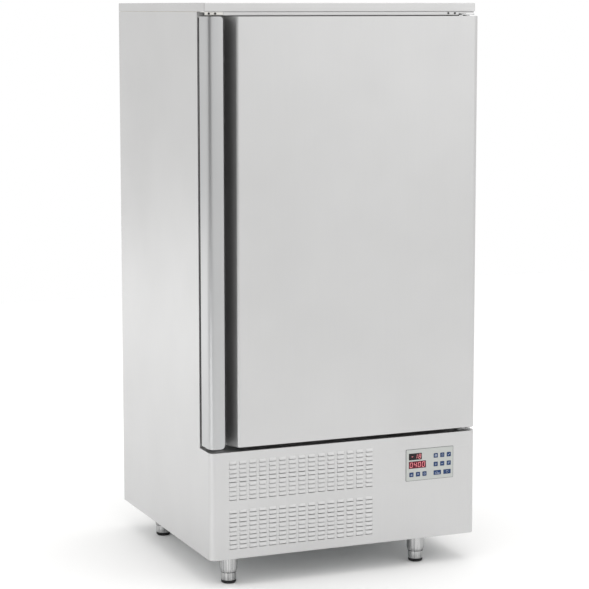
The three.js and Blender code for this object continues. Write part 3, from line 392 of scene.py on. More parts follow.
enamel = finish("black_enamel", (0.016, 0.017, 0.018), (0.024, 0.025, 0.026), (0.22, 0.34), scale=350.0,
                Coat_Weight=0.6, Coat_Roughness=0.12)
copper = finish("copper", (0.56, 0.25, 0.14), (0.70, 0.36, 0.22), (0.24, 0.40), scale=260.0,
                cloud_scale=30.0, Metallic=1.0)
fins = finish("fin_aluminium", (0.62, 0.63, 0.64), (0.72, 0.73, 0.74), (0.30, 0.42), stretch=LEVEL,
              scale=500.0, Metallic=1.0)
galvanised = finish("galvanised_steel", (0.46, 0.475, 0.48), (0.56, 0.575, 0.58), (0.36, 0.52), scale=60.0,
                    bump=0.05, cloud_scale=90.0, Metallic=1.0)
print("finishes made")

# %% [markdown]
# ## Shared places
# These numbers repeat the object's main levels, so that every piece below can be read on its own. The door
# face is the front of everything but the louvres; y runs to the back and z up from the floor. A flat plate
# with holes is triangulated between its loops, and every loop gets a wall, which leaves a clean edge.

# %% Levels, and plates with holes
HALF, FACE, BACK = 400, -376.5, 379.5
BASE, LEDGE, CAP, TOP = 79, 375, 1551.5, 1575
DOOR_LOW, DOOR_HIGH, DOOR_BACK, FRAME = 385.5, 1539, -311.5, -294.5
CAVITY_LOW, CAVITY_HIGH = 435, 1491.5
SHEET, CORNER = 1.2, 18
AIR_X, AIR_Z = -177, 201  # axis of the condenser's fan
GAS_Y, GAS_Z = -270.5, 291  # where the hot gas enters the condenser


def filled(loops, axis, height):
    """A flat face inside the first loop and outside the others."""
    flat = [[Vector((u, v, 0)) for u, v in loop] for loop in loops]
    faces = [tuple(face) for face in tessellate_polygon(flat)]
    return place([point for loop in loops for point in loop], axis, height), faces


def plate(loops, axis, low, high):
    """A plate with holes between two heights."""
    walls = [loft([place(loop, axis, low), place(loop, axis, high)], caps=OPEN) for loop in loops]
    return together(filled(loops, axis, low), filled(loops, axis, high), *walls)


print(len(plate([rectangle(0, 9, 0, 9), round_hole(4, 4, 2)], "z", 0, 1)[1]), "faces in a washer")

# %% [markdown]
# ## The louvred front panel
# One sheet wraps the machine compartment: rounded front corners, a ledge folded back under the door, and two
# blocks of louvres pressed outward. The sheet is a net of cross lines. Where a louvre lies, the net is pushed
# forward to make the hood, and the cells under its lip are left out to make the slot. Modelling one louvre
# and arraying it would need 270 seams with the flat sheet; the net has none.

# %% The net of the sheet
WIDE, TALL, DEEP, SLOT, CHEEK = 21.5, 9, 3, 1.4, 1.9  # one louvre
columns = [-346 + 28.9 * column for column in range(15)]
rows = [LEDGE - 33.4 - 135.6 * block - 12.3 * row for block in range(2) for row in range(9)]
opening = (185.7, 326.3, 249.7, 332.8)  # behind the controller


def hood(x, z):
    """How far the sheet stands forward at a point of the face."""
    left = next((left for left in columns if left <= x <= left + WIDE), None)
    low = next((low for low in rows if low <= z <= low + TALL), None)
    if left is None or low is None:
        return 0
    rise = 1 - (z - low) / TALL
    side = min(1, min(x - left, left + WIDE - x) / CHEEK)
    return DEEP * (1.3 * rise - 0.3 * rise ** 3) * math.sin(side * PI / 2)


def open_cell(x, z):
    """True in a slot under a hood and in the controller's opening."""
    slot = any(left < x < left + WIDE for left in columns) and any(low - SLOT < z < low for low in rows)
    return slot or (opening[0] < x < opening[1] and opening[2] < z < opening[3])


across = sorted({round(left + step, 2) for left in columns for step in
                 (0, 0.6, 1.2, CHEEK, 10.75, 19.6, 20.3, 20.9, WIDE)} | set(opening[:2]))
upward = sorted({round(low + step, 2) for low in rows for step in (-SLOT, 0, 1.2, 3, 5, 7, 8.2, TALL)}
                | set(opening[2:]))
print(len(across), "x", len(upward), "cross lines")

# %% [markdown]
# The sheet follows a plan of left corner, face and right corner, and that plan is repeated at every cross
# line. At the top and bottom it is drawn in along a quarter circle, which is the fold. Cells of the net that
# lie in a slot are dropped, and a modifier gives the rest the thickness of the sheet.


# %% The sheet and its folds
def wrap(depth):
    """Plan of the panel moved inward by a depth: left corner, face and right corner."""
    left = arc(-HALF + CORNER, FACE + CORNER, CORNER - depth, PI, PI / 2, 12)
    right = arc(HALF - CORNER, FACE + CORNER, CORNER - depth, -PI / 2, PI / 2, 12)
    return left + [(x, FACE + depth) for x in across] + right


folds = quarters(BASE, LEDGE, 1.5)
rings = []
for depth, z in folds[:4] + [(0, z) for z in upward] + folds[4:]:
    rings.append([(x, y - (hood(x, z) if depth == 0 and y == FACE else 0), z) for x, y in wrap(depth)])
points, faces = loft(rings, closed=False, caps=OPEN)
centre_of = [[sum(points[i][axis] for i in face) / 4 for axis in (0, 2)] for face in faces]
faces = [face for face, (x, z) in zip(faces, centre_of) if not open_cell(x, z)]


def shelf(ring, back):
    """The folded edge of the panel: a flat face from a ring to a line at the back."""
    z = ring[0][2]
    edge = [(HALF - SHEET, back, z), (-HALF + SHEET, back, z)] + ring
    return edge, [tuple(range(len(edge)))]


sheet = together((points, faces), shelf(rings[-1], FRAME), shelf(rings[0], FACE + CORNER))
front_panel = make("front_panel_louvred", sheet, satin, "machine_front_panel", facing=(0, -1, 0), wall=SHEET,
                   sharp=50, even=True)
print(len(front_panel.data.polygons), "faces,", len(columns) * len(rows), "louvres")

# %% [markdown]
# ## Cabinet shell
# The side panels are plain folded sheets. Each is a small net as well: a tall part beside the door, a longer
# part below it, and a return at the rear. The cap is a shallow lid with softly folded edges.


# %% Side panels and cap
def side_sheet(side):
    bend = arc(HALF - 2, BACK - 2, 2, 0, PI / 2, 5)
    path = [(HALF, FACE + CORNER + 0.2), (HALF, FRAME)] + bend + [(HALF - 16, BACK)]
    rings = [[(side * x, y, z) for x, y in path] for z in (BASE, LEDGE, CAP - 0.25)]
    points, faces = loft(rings, closed=False, caps=OPEN)
    return points, [face for face in faces if min(face) != len(path)]


for side, word in ((-1, "left"), (1, "right")):
    make(f"{word}_side_sheet", side_sheet(side), satin, f"{word}_side_panel", facing=(side, 0, 0),
         wall=SHEET, even=True)

cap_front = FACE + 27.5
lid = rectangle(-HALF, HALF, cap_front, BACK, 2.5, 5)
under = [(min(max(x, -HALF + 1.3), HALF - 1.3), min(max(y, -293), BACK - 1.3)) for x, y in lid]
cap_rings = [place(under, "z", CAP + 0.2), place(inset(lid, 0.5), "z", CAP + 0.2), place(lid, "z", CAP + 0.7)]
cap_rings += [place(inset(lid, depth), "z", z) for depth, z in quarters(0, TOP, 2.2, 4)[5:]]
top_cap = make("folded_cap", loft(cap_rings, caps=(False, True)), satin_level, "top_cap", facing=(0, 0, 1),
               wall=SHEET, sharp=50, even=True)
print("cap", len(top_cap.data.polygons), "faces")

# %% [markdown]
# ## The door
# The door steel's colour carries painted shade: it gets darker the deeper it lies in the finger recess, and
# the narrow fold under the door is painted darker still. Ramps on the object coordinates say where: their
# product is the factor of a mix that darkens the base colour.

# %% Steel of the door, with painted shade
door_steel_painted_shade = satin_finish("door_steel_painted_shade", UPRIGHT)


def combine(tree, operation, a, b):
    return add(tree, "Math", {0: a, 1: b}, operation=operation).outputs["Value"]


def paint_shade(material, darker, **ramps):
    """Painted shade: the base colour times darker where every ramp, given by its axis, has reached its end.
    """
    tree = material.node_tree
    base = tree.nodes["Principled BSDF"].inputs["Base Color"]
    where = add(tree, "SeparateXYZ", {"Vector": add(tree, "TexCoord").outputs["Object"]})
    share = None
    for axis, (start, end) in ramps.items():
        numbers = {"Value": where.outputs[axis], "From Min": start * MM, "From Max": end * MM}
        ramp = add(tree, "MapRange", numbers, interpolation_type="SMOOTHSTEP").outputs["Result"]
        share = combine(tree, "MULTIPLY", share, ramp) if share else ramp
    mix = add(tree, "Mix", {"Factor": share, "A": base.links[0].from_socket,
                            "B": (darker, darker, darker, 1)}, data_type="RGBA", blend_type="MULTIPLY")
    tree.links.new(mix.outputs["Result"], base)


# painted shade: the steel gets darker the deeper it lies in the finger recess
paint_shade(door_steel_painted_shade, 0.64, Y=(FACE + 2, FACE + 34), X=(-312, -324))
# painted shade: the fold under the door is made much darker, standing in for the shade in the gap below it
paint_shade(door_steel_painted_shade, 0.2, Z=(DOOR_LOW + 1, DOOR_LOW + 0.3))
print("door steel made")

# %% [markdown]
# The skin is one folded sheet in plan: it comes down the grip's leg, makes the floor and the wall of the
# finger recess, turns in a soft bend into the face and ends at the right corner. That bend gives the long
# gradient beside the recess. The ends are closed and bored for the hinge pins, and the foam that fills
# the door follows the same plan.

# %% Door skin and foam
HINGE = (375, -344)
door_plan = rounded([(-390, DOOR_BACK), (-390, FACE + 49, 1.5), (-338, FACE + 49, 10), (-317.5, FACE, 10),
                     (HALF, FACE, CORNER), (HALF, DOOR_BACK)], 14)


def plan_at(depth, back):
    """The door's plan moved inward, its open ends kept at the back."""
    plan = inset(door_plan, depth)
    return [(plan[0][0], back), *plan[1:-1], (plan[-1][0], back)]


door_rings = [place(plan_at(depth, DOOR_BACK), "z", z) for depth, z in quarters(DOOR_LOW, DOOR_HIGH, 0.9, 2)]
end_loops = [plan_at(0.9, DOOR_BACK), round_hole(*HINGE, 5.3)]
skin = together(loft(door_rings, closed=False, caps=OPEN), filled(end_loops, "z", DOOR_LOW),
                filled(end_loops, "z", DOOR_HIGH))
door_skin = make("door_folded_skin", skin, door_steel_painted_shade, "door_skin", body="door", facing=(0, -1, 0),
                 wall=SHEET, even=True)
door_core = plate([plan_at(SHEET + 0.3, DOOR_BACK - 1.3), round_hole(*HINGE, 6.3)], "z",
                  DOOR_LOW + SHEET + 0.2, DOOR_HIGH - SHEET - 0.2)
behind_liner = bar(rectangle(-330, 330, CAVITY_LOW + 10, CAVITY_HIGH - 10, 10), "y", DOOR_BACK - 2,
                   DOOR_BACK + 6.6)
make("door_foam", together(door_core, behind_liner), foam, "door_insulation", body="door")
print("door skin", len(door_skin.data.polygons), "faces")

# %% [markdown]
# The grip is a hollow profile whose inside nothing shows, so only its outside is modelled. Its upper and
# lower ends are ground round at the recess side, which a few rings near each end describe.

# %% Grip
grip_plan = rounded([(-HALF, DOOR_BACK), (-HALF, FACE, CORNER), (-356.3, FACE, 3), (-356.3, FACE + 20, 3),
                     (-390, FACE + 20, 9), (-390, DOOR_BACK)], 10)
grip_rings = []
steps = [0, 0.6, 1.5, 3, 5, 7.5, 10]
for z, gap in [(DOOR_LOW + s, s) for s in steps] + [(DOOR_HIGH - s, s) for s in reversed(steps)]:
    back_off = 10 - math.sqrt(100 - (10 - gap) ** 2)
    grip_rings.append(place([(x - back_off if x > -375 else x, y) for x, y in grip_plan], "z", z))
grip = make("door_grip_profile", loft(grip_rings), grip_steel, "door_grip", body="door", edge=0.6)
print("grip", len(grip.data.polygons), "faces")

# %% [markdown]
# ## Feet
# Three turned forms on one axis: a drawn sleeve with a rolled rim, the barrel that screws in and out of it,
# and a rubber pad. The sleeve belongs to the cabinet; barrel and pad move together.

# %% Feet
sleeve = [(21, 75), (21, 32.4), (21.6, 32), (22, 32), (22.4, 32.5), (24, 38.5), (24.4, 40.5), (24.5, 43),
          (24.5, 78), (23.7, 78.9), (21, 78.9)]
sleeve_ring = [(20.7, 31.9), (21.6, 31.9), (22, 31.5), (22, 30.9), (21.6, 30.5), (20.7, 30.5)]
barrel = [(15, 9.1), (19.6, 9.1), (20.3, 9.5), (20.6, 10.2), (20.6, 16), (20.2, 16.5), (20.2, 17.5),
          (20.6, 18), (20.6, 68), (19.6, 70), (15, 70)]
pad = [(16.6, 0), (17.6, 0.3), (20, 2.6), (20.6, 4), (20.6, 8.2), (20, 9), (12, 9)]
feet = {f"{end}_{side}": (x, y) for end, y in (("front", -320.5), ("rear", 226.5))
        for side, x in (("left", -328), ("right", 241))}
for name, at in feet.items():
    for word, profile, material, node, body in (
            ("sleeve", sleeve, foot_steel_painted_reflections, f"foot_sleeve_{name}", "cabinet"),
            ("sleeve_ring", sleeve_ring, rubber, f"foot_sleeve_{name}", "cabinet"),
            ("barrel", barrel, foot_steel_painted_reflections, f"foot_{name}", f"foot_{name}"),
            ("pad", pad, rubber, f"foot_pad_{name}", f"foot_{name}")):
        make(f"{word}_{name}", turned(profile, *at, 64), material, node, body=body)
print(len(feet), "feet")

# %% [markdown]
# ## The controller
# A film on a dark base, cut out for keys and windows. The dark base shows as a thin rim at the left and the
# top, which is how the plate stands out from steel of nearly its own grey. Places on the plate are measured
# from its lower left corner.

# %% Controller plate
PLATE_X, PLATE_Z, PLATE_FACE = 182, 246, FACE - 1.2
KEY_ROWS = {"lower": (18.2, 17.1, 37.5, 57.9), "middle": (42.6, 92.8, 113.3, 133.8),
            "upper": (67.2, 92.8, 113.3, 133.8), "wide": (18, 98, 128.6)}
KEYS = {f"{row}_{index + 1}": (x, z) for row, (z, *places) in KEY_ROWS.items()
        for index, x in enumerate(places)}
WINDOWS = {"upper": (29, 69.2, 40, 18.5), "lower": (35.5, 45.6, 53, 20)}


def on_plate(x, z, width, height, radius):
    """A rounded rectangle on the plate, anticlockwise as the front sees it."""
    x, z = PLATE_X + x, PLATE_Z + z
    return rectangle(x - width / 2, x + width / 2, z - height / 2, z + height / 2, radius, 5)


def key_width(name):
    return 22.8 if "wide" in name else 12.5


holes = [on_plate(x, z, key_width(name) + 0.6, 13.1, 1.4) for name, (x, z) in KEYS.items()]
holes += [on_plate(x, z, width + 0.6, height + 0.6, 0.6) for x, z, width, height in WINDOWS.values()]
edge = rectangle(PLATE_X, PLATE_X + 148, PLATE_Z, PLATE_Z + 90.5, 2)
make("controller_base", plate([edge, *holes], "y", PLATE_FACE + 0.25, FACE), edge_grey, "controller_plate")
make("controller_film", plate([inset(edge, 1.3), *holes], "y", PLATE_FACE, PLATE_FACE + 0.24), plate_film,
     "controller_plate")
print(len(holes), "cut-outs")

# %% [markdown]
# Symbols and digits are strokes: short flat bars along a path. They lie a few hundredths proud of the face,
# as printed ink and lit segments would seem to. The symbols are plain ones: arrows, snow, clock and so on.


# %% Strokes
def stroke(path, width, low, high):
    """Flat bars along each step of a path that stands across y."""
    bars = []
    for start, end in zip(path, path[1:]):
        along = Vector((end[0] - start[0], end[1] - start[1])).normalized() * width / 2
        side = Vector((-along.y, along.x))
        a, b = Vector(start) - along, Vector(end) + along
        bars.append(bar([tuple(a - side), tuple(b - side), tuple(b + side), tuple(a + side)], "y", low, high))
    return together(*bars)


star = [[polar(-3.4, a), polar(3.4, a)] for a in (PI / 2, PI / 6, 5 * PI / 6)]
barbs = [[tuple(Vector(polar(2.2, a)) + Vector(polar(1.2, a + t))), polar(2.2, a)]
         for a in [PI / 6 + k * PI / 3 for k in range(6)] for t in (1, -1)]
SIGNS = {
    "lower_1": [[(-2.6, -1.6), (0, 2), (2.6, -1.6), (-2.6, -1.6)]],
    "lower_2": [[(-2.6, 1.6), (0, -2), (2.6, 1.6), (-2.6, 1.6)]],
    "lower_3": [[(-2.2, -2.2), (2.2, -2.2), (2.2, 2.2), (-2.2, 2.2), (-2.2, -2.2)]],
    "middle_1": [[(-2.8, 0), (2.8, 0)], [(0, -2.8), (0, 2.8)]],
    "middle_2": [[(-2.8, 0), (2.8, 0)]],
    "middle_3": [[(-2.6, -2.8), (2.6, 2.8)], [(-3, 0.6), (-0.6, 3)]],
    "upper_1": star + barbs,
    "upper_2": [arc(0, 0, 3.4, 0, math.tau, 20), [(0, 2.2), (0, 0), (1.6, -0.8)]],
    "upper_3": [[(-2.8, 0), (-0.8, -2.4), (3, 2.6)]],
    "wide_1": [[(-7, -1.6), (-4, 1.6), (-1, 1.6), (2, -1.6), (7, -1.6)], [(-7, -3.4), (7, -3.4)]],
    "wide_2": [arc(0, 0, 3.4, PI / 2 + 0.6, math.tau - 1.2, 16), [(0, 0.6), (0, 3.8)]],
}
print(len(SIGNS), "signs")

# %% [markdown]
# A key is a small cap on a wider flange that keeps it behind the film. Cap and sign ride on the key's own
# body, so both travel inward when it is pressed.

# %% Keys
for name, (x, z) in KEYS.items():
    node, width = f"key_{name}", key_width(name)
    cap_shape = bar(on_plate(x, z, width, 12.5, 1.2), "y", FACE - 1.8, FACE - 0.1, 0.35)
    flange = bar(on_plate(x, z, width + 2.4, 14.9, 1.6), "y", FACE, FACE + 1, 0.2)
    make(f"{node}_cap", together(cap_shape, flange), key_film, node, body=node)
    lines = [stroke([(PLATE_X + x + u, PLATE_Z + z + v) for u, v in path], 0.75, FACE - 1.86, FACE - 1.75)
             for path in SIGNS[name]]
    make(f"{node}_sign", together(*lines), key_sign, node, body=node)
print(len(KEYS), "keys")

# %% [markdown]
# Each digit is made of seven segments, lit ones bright and the others left out. The glass is a dark tinted
# block whose front lies a fifth of a millimetre below the film.

# %% Display
SEGMENTS = {"0": "abcdef", "1": "bc", "4": "bcfg", "8": "abcdefg", "-": "g"}
ENDS = {"a": ((-1, 2), (1, 2)), "b": ((1, 2), (1, 0)), "c": ((1, 0), (1, -2)), "d": ((-1, -2), (1, -2)),
        "e": ((-1, -2), (-1, 0)), "f": ((-1, 0), (-1, 2)), "g": ((-1, 0), (1, 0))}
GLASS_Y = PLATE_FACE + 0.2


def digits(text, x, z, pitch, half_width, half_height):
    """Seven-segment figures with a slight lean, centred on a place of the plate."""
    bars = []
    for index, figure in enumerate(text):
        middle = x + (index - (len(text) - 1) / 2) * pitch
        for segment in SEGMENTS[figure]:
            ends = []
            for u, v in ENDS[segment]:
                v *= half_height / 2
                ends.append(Vector((PLATE_X + middle + u * half_width + 0.12 * v, PLATE_Z + z + v)))
            short = [tuple(ends[0].lerp(ends[1], t)) for t in (0.14, 0.86)]
            bars.append(stroke(short, 1.0, GLASS_Y - 0.06, GLASS_Y + 0.02))
    return together(*bars)


figures = {"upper": digits("-18", 31.5, 69.2, 11.5, 2.9, 6),
           "lower": digits("0400", 35.5, 45.6, 12.6, 3.5, 6.6)}
for name, pane in (("upper", window), ("lower", red_window)):
    block = bar(on_plate(*WINDOWS[name], 0.5), "y", GLASS_Y, FACE + 2.5, 0.12)
    make(f"pane_{name}", block, pane, "display_board")
    make(f"figures_{name}", figures[name], digit_glow, "display_board")
card = rectangle(188.1, 323.9, 252.1, 330.4, 1)
make("display_card", bar(card, "y", FACE + 2.6, FACE + 4.2, 0.2), card_green, "display_board")
print("display reads -18 and 0400")

# %% [markdown]
# ## Hinges and switch
# Each bracket is a rounded plate with a collar and a pin. A washer line on the collar and two screws on the
# upright leaf are small, but the gap between cap and door is where the eye looks for them.

# %% Hinge brackets and door switch
hinge_plan = rounded([(352.8, FRAME), (352.8, -353, 9), (398.8, -353, 9), (398.8, FRAME)], 10)
for word, plate_z, tip, (low, high) in (("top", (1542, 1545), 1515, (1539.3, 1542)),
                                        ("bottom", (375, 378), 406.5, (378, 382.2))):
    start, end = sorted((tip, plate_z[0]))
    pin = turned([(4, start), (5, start + 1), (5, end - 1), (4, end)], *HINGE)
    boss = turned([(6, low), (8.6, low), (9, low + 0.4), (9, high - 0.4), (9, high)], *HINGE)
    make(f"hinge_plate_{word}", bar(hinge_plan, "z", *plate_z, 0.5), bright, f"hinge_bracket_{word}")
    make(f"hinge_pin_{word}", together(pin, boss), bright, f"hinge_bracket_{word}")
leaf = plate([rectangle(375.2, 398.6, 1499, 1541.8, 2)], "y", FRAME - 3, FRAME)
make("hinge_leaf_top", leaf, bright, "hinge_bracket_top", edge=0.4)

screw_head = turned([(4.2, 0), (4.2, 0.5), (3.6, 1.3), (2.2, 1.8), (1.6, 1.9), (1.5, 1.2), (0.8, 1.2)],
                    steps=32)
for z in (1508, 1527):
    make(f"leaf_screw_{z}", lay(screw_head, "-y", 387, FRAME - 3, z), bright, "hinge_bracket_top")
switch = bar(rectangle(-370, -352, 1540.5, 1550, 1.2, 4), "y", FRAME - 12, FRAME, 0.8)
plunger = bar(rectangle(-364, -358, 1542, 1548.5, 1.5, 4), "y", FRAME - 15, FRAME - 12, 0.6)
make("door_switch_body", switch, white, "door_switch")
make("door_switch_plunger", plunger, black, "door_switch")
print("hinges and switch made")

# %% [markdown]
# A narrow strip hangs from the cap's front edge and hides the deep gap over the door, so that only a fine
# shadow line is left. It is an angle section: one leg lies under the cap and the other hangs down. It is
# lower beside the top bracket, and at the left a pale cover shields the switch.

# %% Strip under the cap
under_cap, strip_front, cover_front = CAP + 0.15, cap_front + 3, cap_front + 2


def angle_strip(x0, x1, low):
    section = [(strip_front, low), (strip_front + 1, low), (strip_front + 1, under_cap - 1, 0.6),
               (FRAME - 0.2, under_cap - 1), (FRAME - 0.2, under_cap), (strip_front, under_cap, 1.4)]
    return bar(rounded(section, 4), "x", x0, x1)


make("header_strip", together(angle_strip(-345, 350, 1542), angle_strip(350.3, 397, 1546.2)), satin_level,
     "top_cap")
section = [(cover_front, 1542.4, 1.5), (cover_front + 1.6, 1542.4), (cover_front + 1.6, under_cap - 1.6),
           (FRAME - 16, under_cap - 1.6), (FRAME - 16, under_cap), (cover_front, under_cap, 1.5)]
make("switch_cover", bar(rounded(section, 5), "x", -397, -346), white, "door_switch")
button = turned([(3, 0), (3, 0.7), (2.4, 1.3), (1.2, 1.5), (0.2, 1.5)], steps=32)
for word, x, y in (("switch", -386, cover_front), ("switch", -368, cover_front),
                   ("header", 318, strip_front), ("header", 338, strip_front)):
    make(f"{word}_cover_screw_{abs(x)}", lay(button, "-y", x, y, 1546.6), black, "top_cap")
print("strip and cover made")

# %% [markdown]
# ## Inside of the door
# The liner is pressed: a flat border for the gasket and a raised field within it. The gasket is a bellows
# section carried round the opening, with mitred corners as welded gaskets have.


# %% Liner and gasket
def opening_ring(grow, radius=0.0):
    return rectangle(-340 - grow, 340 + grow, CAVITY_LOW - grow, CAVITY_HIGH + grow, radius, 6)


field = [(-3, 0), (-3.6, 0.3), (-5, 2), (-7.4, 6), (-8.6, 7.5), (-10.5, 8)]
liner_rings = [place(rectangle(-388.6, 398.6, DOOR_LOW + 1.3, DOOR_HIGH - 1.3, 1, 6), "y", DOOR_BACK - 0.2)]
liner_rings += [place(opening_ring(grow, 16), "y", DOOR_BACK + y - 0.2) for grow, y in field]
make("door_pressed_liner", loft(liner_rings, caps=(False, True)), satin, "door_liner", body="door",
     facing=(0, 1, 0), wall=0.9, sharp=60)

bellows = [(2, 0), (28, 0), (28, 3), (26, 5), (21.4, 5.4), (23, 7.6), (20.8, 10), (25.4, 11.4), (26, 13.6),
           (24.6, 16.4), (20, 16.7), (10, 16.7), (5.4, 16.4), (4, 13.6), (4.6, 11.4), (9.2, 10), (7, 7.6),
           (8.6, 5.4), (4, 5), (2, 3), (2, 0)]
gasket = loft([place(opening_ring(out), "y", DOOR_BACK + y) for out, y in bellows], caps=OPEN)
make("door_bellows_gasket", gasket, rubber, "door_gasket", body="door", sharp=50)
edge_seal = bar(rectangle(-398.6, -393, DOOR_BACK - 0.1, DOOR_BACK + 13, 1.6, 5), "z", DOOR_LOW + 3,
                DOOR_HIGH - 3, 0.6)
make("door_edge_seal", edge_seal, rubber, "door_gasket", body="door")
print("gasket section of", len(bellows) - 1, "points")

# %% [markdown]
# ## Inside the cavity
# The racks are ladders of folded runners on two square posts. Each runner is one angle section with real
# bend radii. The left rack also carries spacers that hold it off the evaporator cover.


# %% Tray racks
POSTS = (-261, 271)


def rack(back, toward):
    """Ten runners and two posts; toward is 1 when the runners point right."""
    web = back + toward * 16
    angle = [(0, 0, 2.6), (20, 0, 0.9), (20, 2, 0.9), (2, 2, 1), (2, 14, 0.9), (0, 14, 0.9)]
    section = [(web + toward * u, v) for u, v in rounded(angle, 4)][::toward]
    parts = [bar([(x, z + 517 + 95 * level) for x, z in section], "y", -277, 303, 0.4) for level in range(10)]
    for y in POSTS:
        parts.append(bar(rectangle(*sorted((back, web)), y, y + 16, 1.8, 4), "z", CAVITY_LOW + 16,
                         CAVITY_HIGH - 16, 0.5))
    for y, z in [(y, z) for y in POSTS for z in (517, 1409.5) if toward > 0]:
        parts.append(bar(rectangle(y, y + 16, z - 8, z + 8, 2, 4), "x", back - 14, back + 0.5, 0.4))
    return together(*parts)


make("tray_ladder_left", rack(-102, 1), bright, "tray_rack_left")
make("tray_ladder_right", rack(340, -1), bright, "tray_rack_right")
print("two racks of ten runners")

# %% [markdown]
# The evaporator cover is a folded channel with two large openings. Each opening is drawn in to a collar with
# a soft inlet, so the fans run in a short duct.

# %% Evaporator cover
COVER_X, FAN_Y, FAN_ZS = -116, 5.65, {"lower": 723.25, "upper": 1203.25}
y0, y1, z0, z1 = -259, 270.3, CAVITY_LOW, CAVITY_HIGH
path = [(COVER_X - 36, y0), (COVER_X - 2.5, y0)] + arc(COVER_X - 2.5, y0 + 2.5, 2.5, -PI / 2, PI / 2, 5)[1:]
far = [(x, y0 + y1 - y) for x, y in reversed(path)]
sides = [loft([place(run, "z", z) for z in (z0, z1)], closed=False, caps=OPEN) for run in (path, far)]
mouths = [round_hole(FAN_Y, z, 157, 72) for z in FAN_ZS.values()]
collar = [(157, 0), (154.5, -0.5), (152.4, -2.2), (151.2, -5), (151, -9), (151, -62)]
ducts = [loft([place(round_hole(FAN_Y, z, r, 72), "x", COVER_X + x) for r, x in collar], caps=OPEN)
         for z in FAN_ZS.values()]
cover = together(*sides, filled([rectangle(y0 + 2.5, y1 - 2.5, z0, z1), *mouths], "x", COVER_X), *ducts)
make("evaporator_folded_cover", cover, satin, "evaporator_cover", facing=(1, 0, 0), wall=1.3)
print("cover with", len(ducts), "collars")

# %% [markdown]
# A wire guard is rings and spokes, all round wire. `tube` sweeps a circle along any path of points, so the
# same helper also makes the refrigerant pipes and the bends of the coils.


# %% Wires and pipes
def tube(path, radius, sides=10, closed=False):
    """A round wire or pipe along a path of points."""
    spots = [Vector(point) for point in path]
    rings, normal = [], None
    for index, spot in enumerate(spots):
        before = spots[index - 1] if index or closed else spot
        after = spots[(index + 1) % len(spots)] if closed or index + 1 < len(spots) else spot
        along = (after - before).normalized()
        if normal is None:
            normal = along.orthogonal().normalized()
        normal = (normal - along * normal.dot(along)).normalized()
        other = along.cross(normal)
        circle = [polar(radius, math.tau * side / sides) for side in range(sides)]
        rings.append([tuple(spot + normal * u + other * v) for u, v in circle])
    return loft(rings + rings[:1], caps=OPEN) if closed else loft(rings)


def bent(corners, radius, steps=10):
    """A path through corners with rounded bends."""
    spots = [Vector(corner) for corner in corners]
    path = [spots[0]]
    for before, corner, after in zip(spots, spots[1:], spots[2:]):
        a = corner + (before - corner).normalized() * radius
        b = corner + (after - corner).normalized() * radius
        for t in [step / steps for step in range(steps + 1)]:
            path.append(a * (1 - t) ** 2 + corner * 2 * t * (1 - t) + b * t ** 2)
    return path + [spots[-1]]


print(len(bent([(0, 0, 0), (9, 0, 0), (9, 9, 0)], 3)), "points in a bent pipe's path")

# %% [markdown]
# Each guard carries its motor, as a ring-mounted fan does: nine rings and eight spokes of wire, with the
# motor's can hung behind them on the axis.

# %% Fan guards and motors
GUARD_X = COVER_X + 1.4
RINGS = (52, 66, 80, 94, 108, 122, 136, 150, 163.5)
can = turned([(20, 2.6), (33, 2.6), (38, 0.6), (39, -1.5), (39, -16), (38.3, -16.5), (38.3, -18.5), (39, -19),
              (39, -34), (36.5, -37.4), (12, -38), (12, -40), (5, -40), (5, -74), (4, -74)])
for word, z in FAN_ZS.items():
    def at(radius, angle):
        return (GUARD_X, FAN_Y + radius * math.cos(angle), z + radius * math.sin(angle))

    wires = [tube([at(radius, math.tau * s / 72) for s in range(72)], 1.2, 8, True)
             for radius in RINGS]
    wires += [tube([at(36, k * PI / 4), at(RINGS[-1], k * PI / 4)], 1.4, 8) for k in range(8)]
    make(f"wire_guard_{word}", together(*wires), bright, f"fan_guard_{word}")
    make(f"fan_motor_{word}", lay(can, "x", COVER_X, FAN_Y, z), enamel, f"fan_guard_{word}")
print(len(wires), "wires a guard")

# %% [markdown]
# ## Fan wheels
# A blade is a lofted strip: its chord widens toward the tip, its pitch flattens, and its section is cambered
# like a shallow spoon. Five of them stand on a hollow hub.


# %% Wheels
def wheel(radius, hub_radius, depth, blades=5):
    """A fan wheel about z, between z = 0 and its depth."""
    parts = [hollow([(5.8, 0.4), (hub_radius - 4, 0.4), (hub_radius - 1, 1.4), (hub_radius, 4),
                     (hub_radius, depth - 1), (hub_radius - 2, depth - 0.4), (hub_radius - 3, depth - 4),
                     (12, depth - 4), (11, depth - 0.4), (5.8, depth - 0.4)])]
    ninths = [step / 8 for step in range(9)]
    for index in range(blades):
        stations = []
        for along in ninths:
            r = hub_radius - 1.5 + (radius - 0.6 - hub_radius + 1.5) * along
            half_chord = math.radians(25 - 5.5 * along)
            rise = (depth / 2 - 3.6) * (1 - 0.18 * along)
            upper, lower = [], []
            for t in ninths:
                spot = polar(r, index * math.tau / blades + half_chord * (2 * t - 1) + 0.16 * along ** 2)
                camber = 3.2 * math.sin(PI * t)
                z = depth / 2 + rise * (2 * t - 1) * 0.92 - camber + 1.6
                thick = 0.35 + 0.85 * math.sin(PI * min(1, t * 1.2 + 0.05))
                upper.append((*spot, z + thick))
                lower.append((*spot, z - thick))
            stations.append(upper + lower[::-1])
        parts.append(loft(stations))
    return together(*parts)


WHEEL_X, WHEEL_Y = -188.3, -238.5
for word, z in FAN_ZS.items():
    node = f"evaporator_fan_{word}"
    make(f"fan_wheel_{word}", lay(wheel(146, 44, 34), "x", WHEEL_X, FAN_Y, z), black, node, body=node)
make("fan_wheel_condenser", lay(wheel(104, 32, 29.7), "y", AIR_X, WHEEL_Y, AIR_Z), black, "condenser_fan",
     body="condenser_fan")
print("three wheels")

# %% [markdown]
# ## Back of the cabinet
# The rear panel is one flat sheet with two columns of round-ended vents and a hole for the mains cable's
# gland. The gland is a nut, a neck, a skirt with flats, a dome and a rubber seal on one axis.


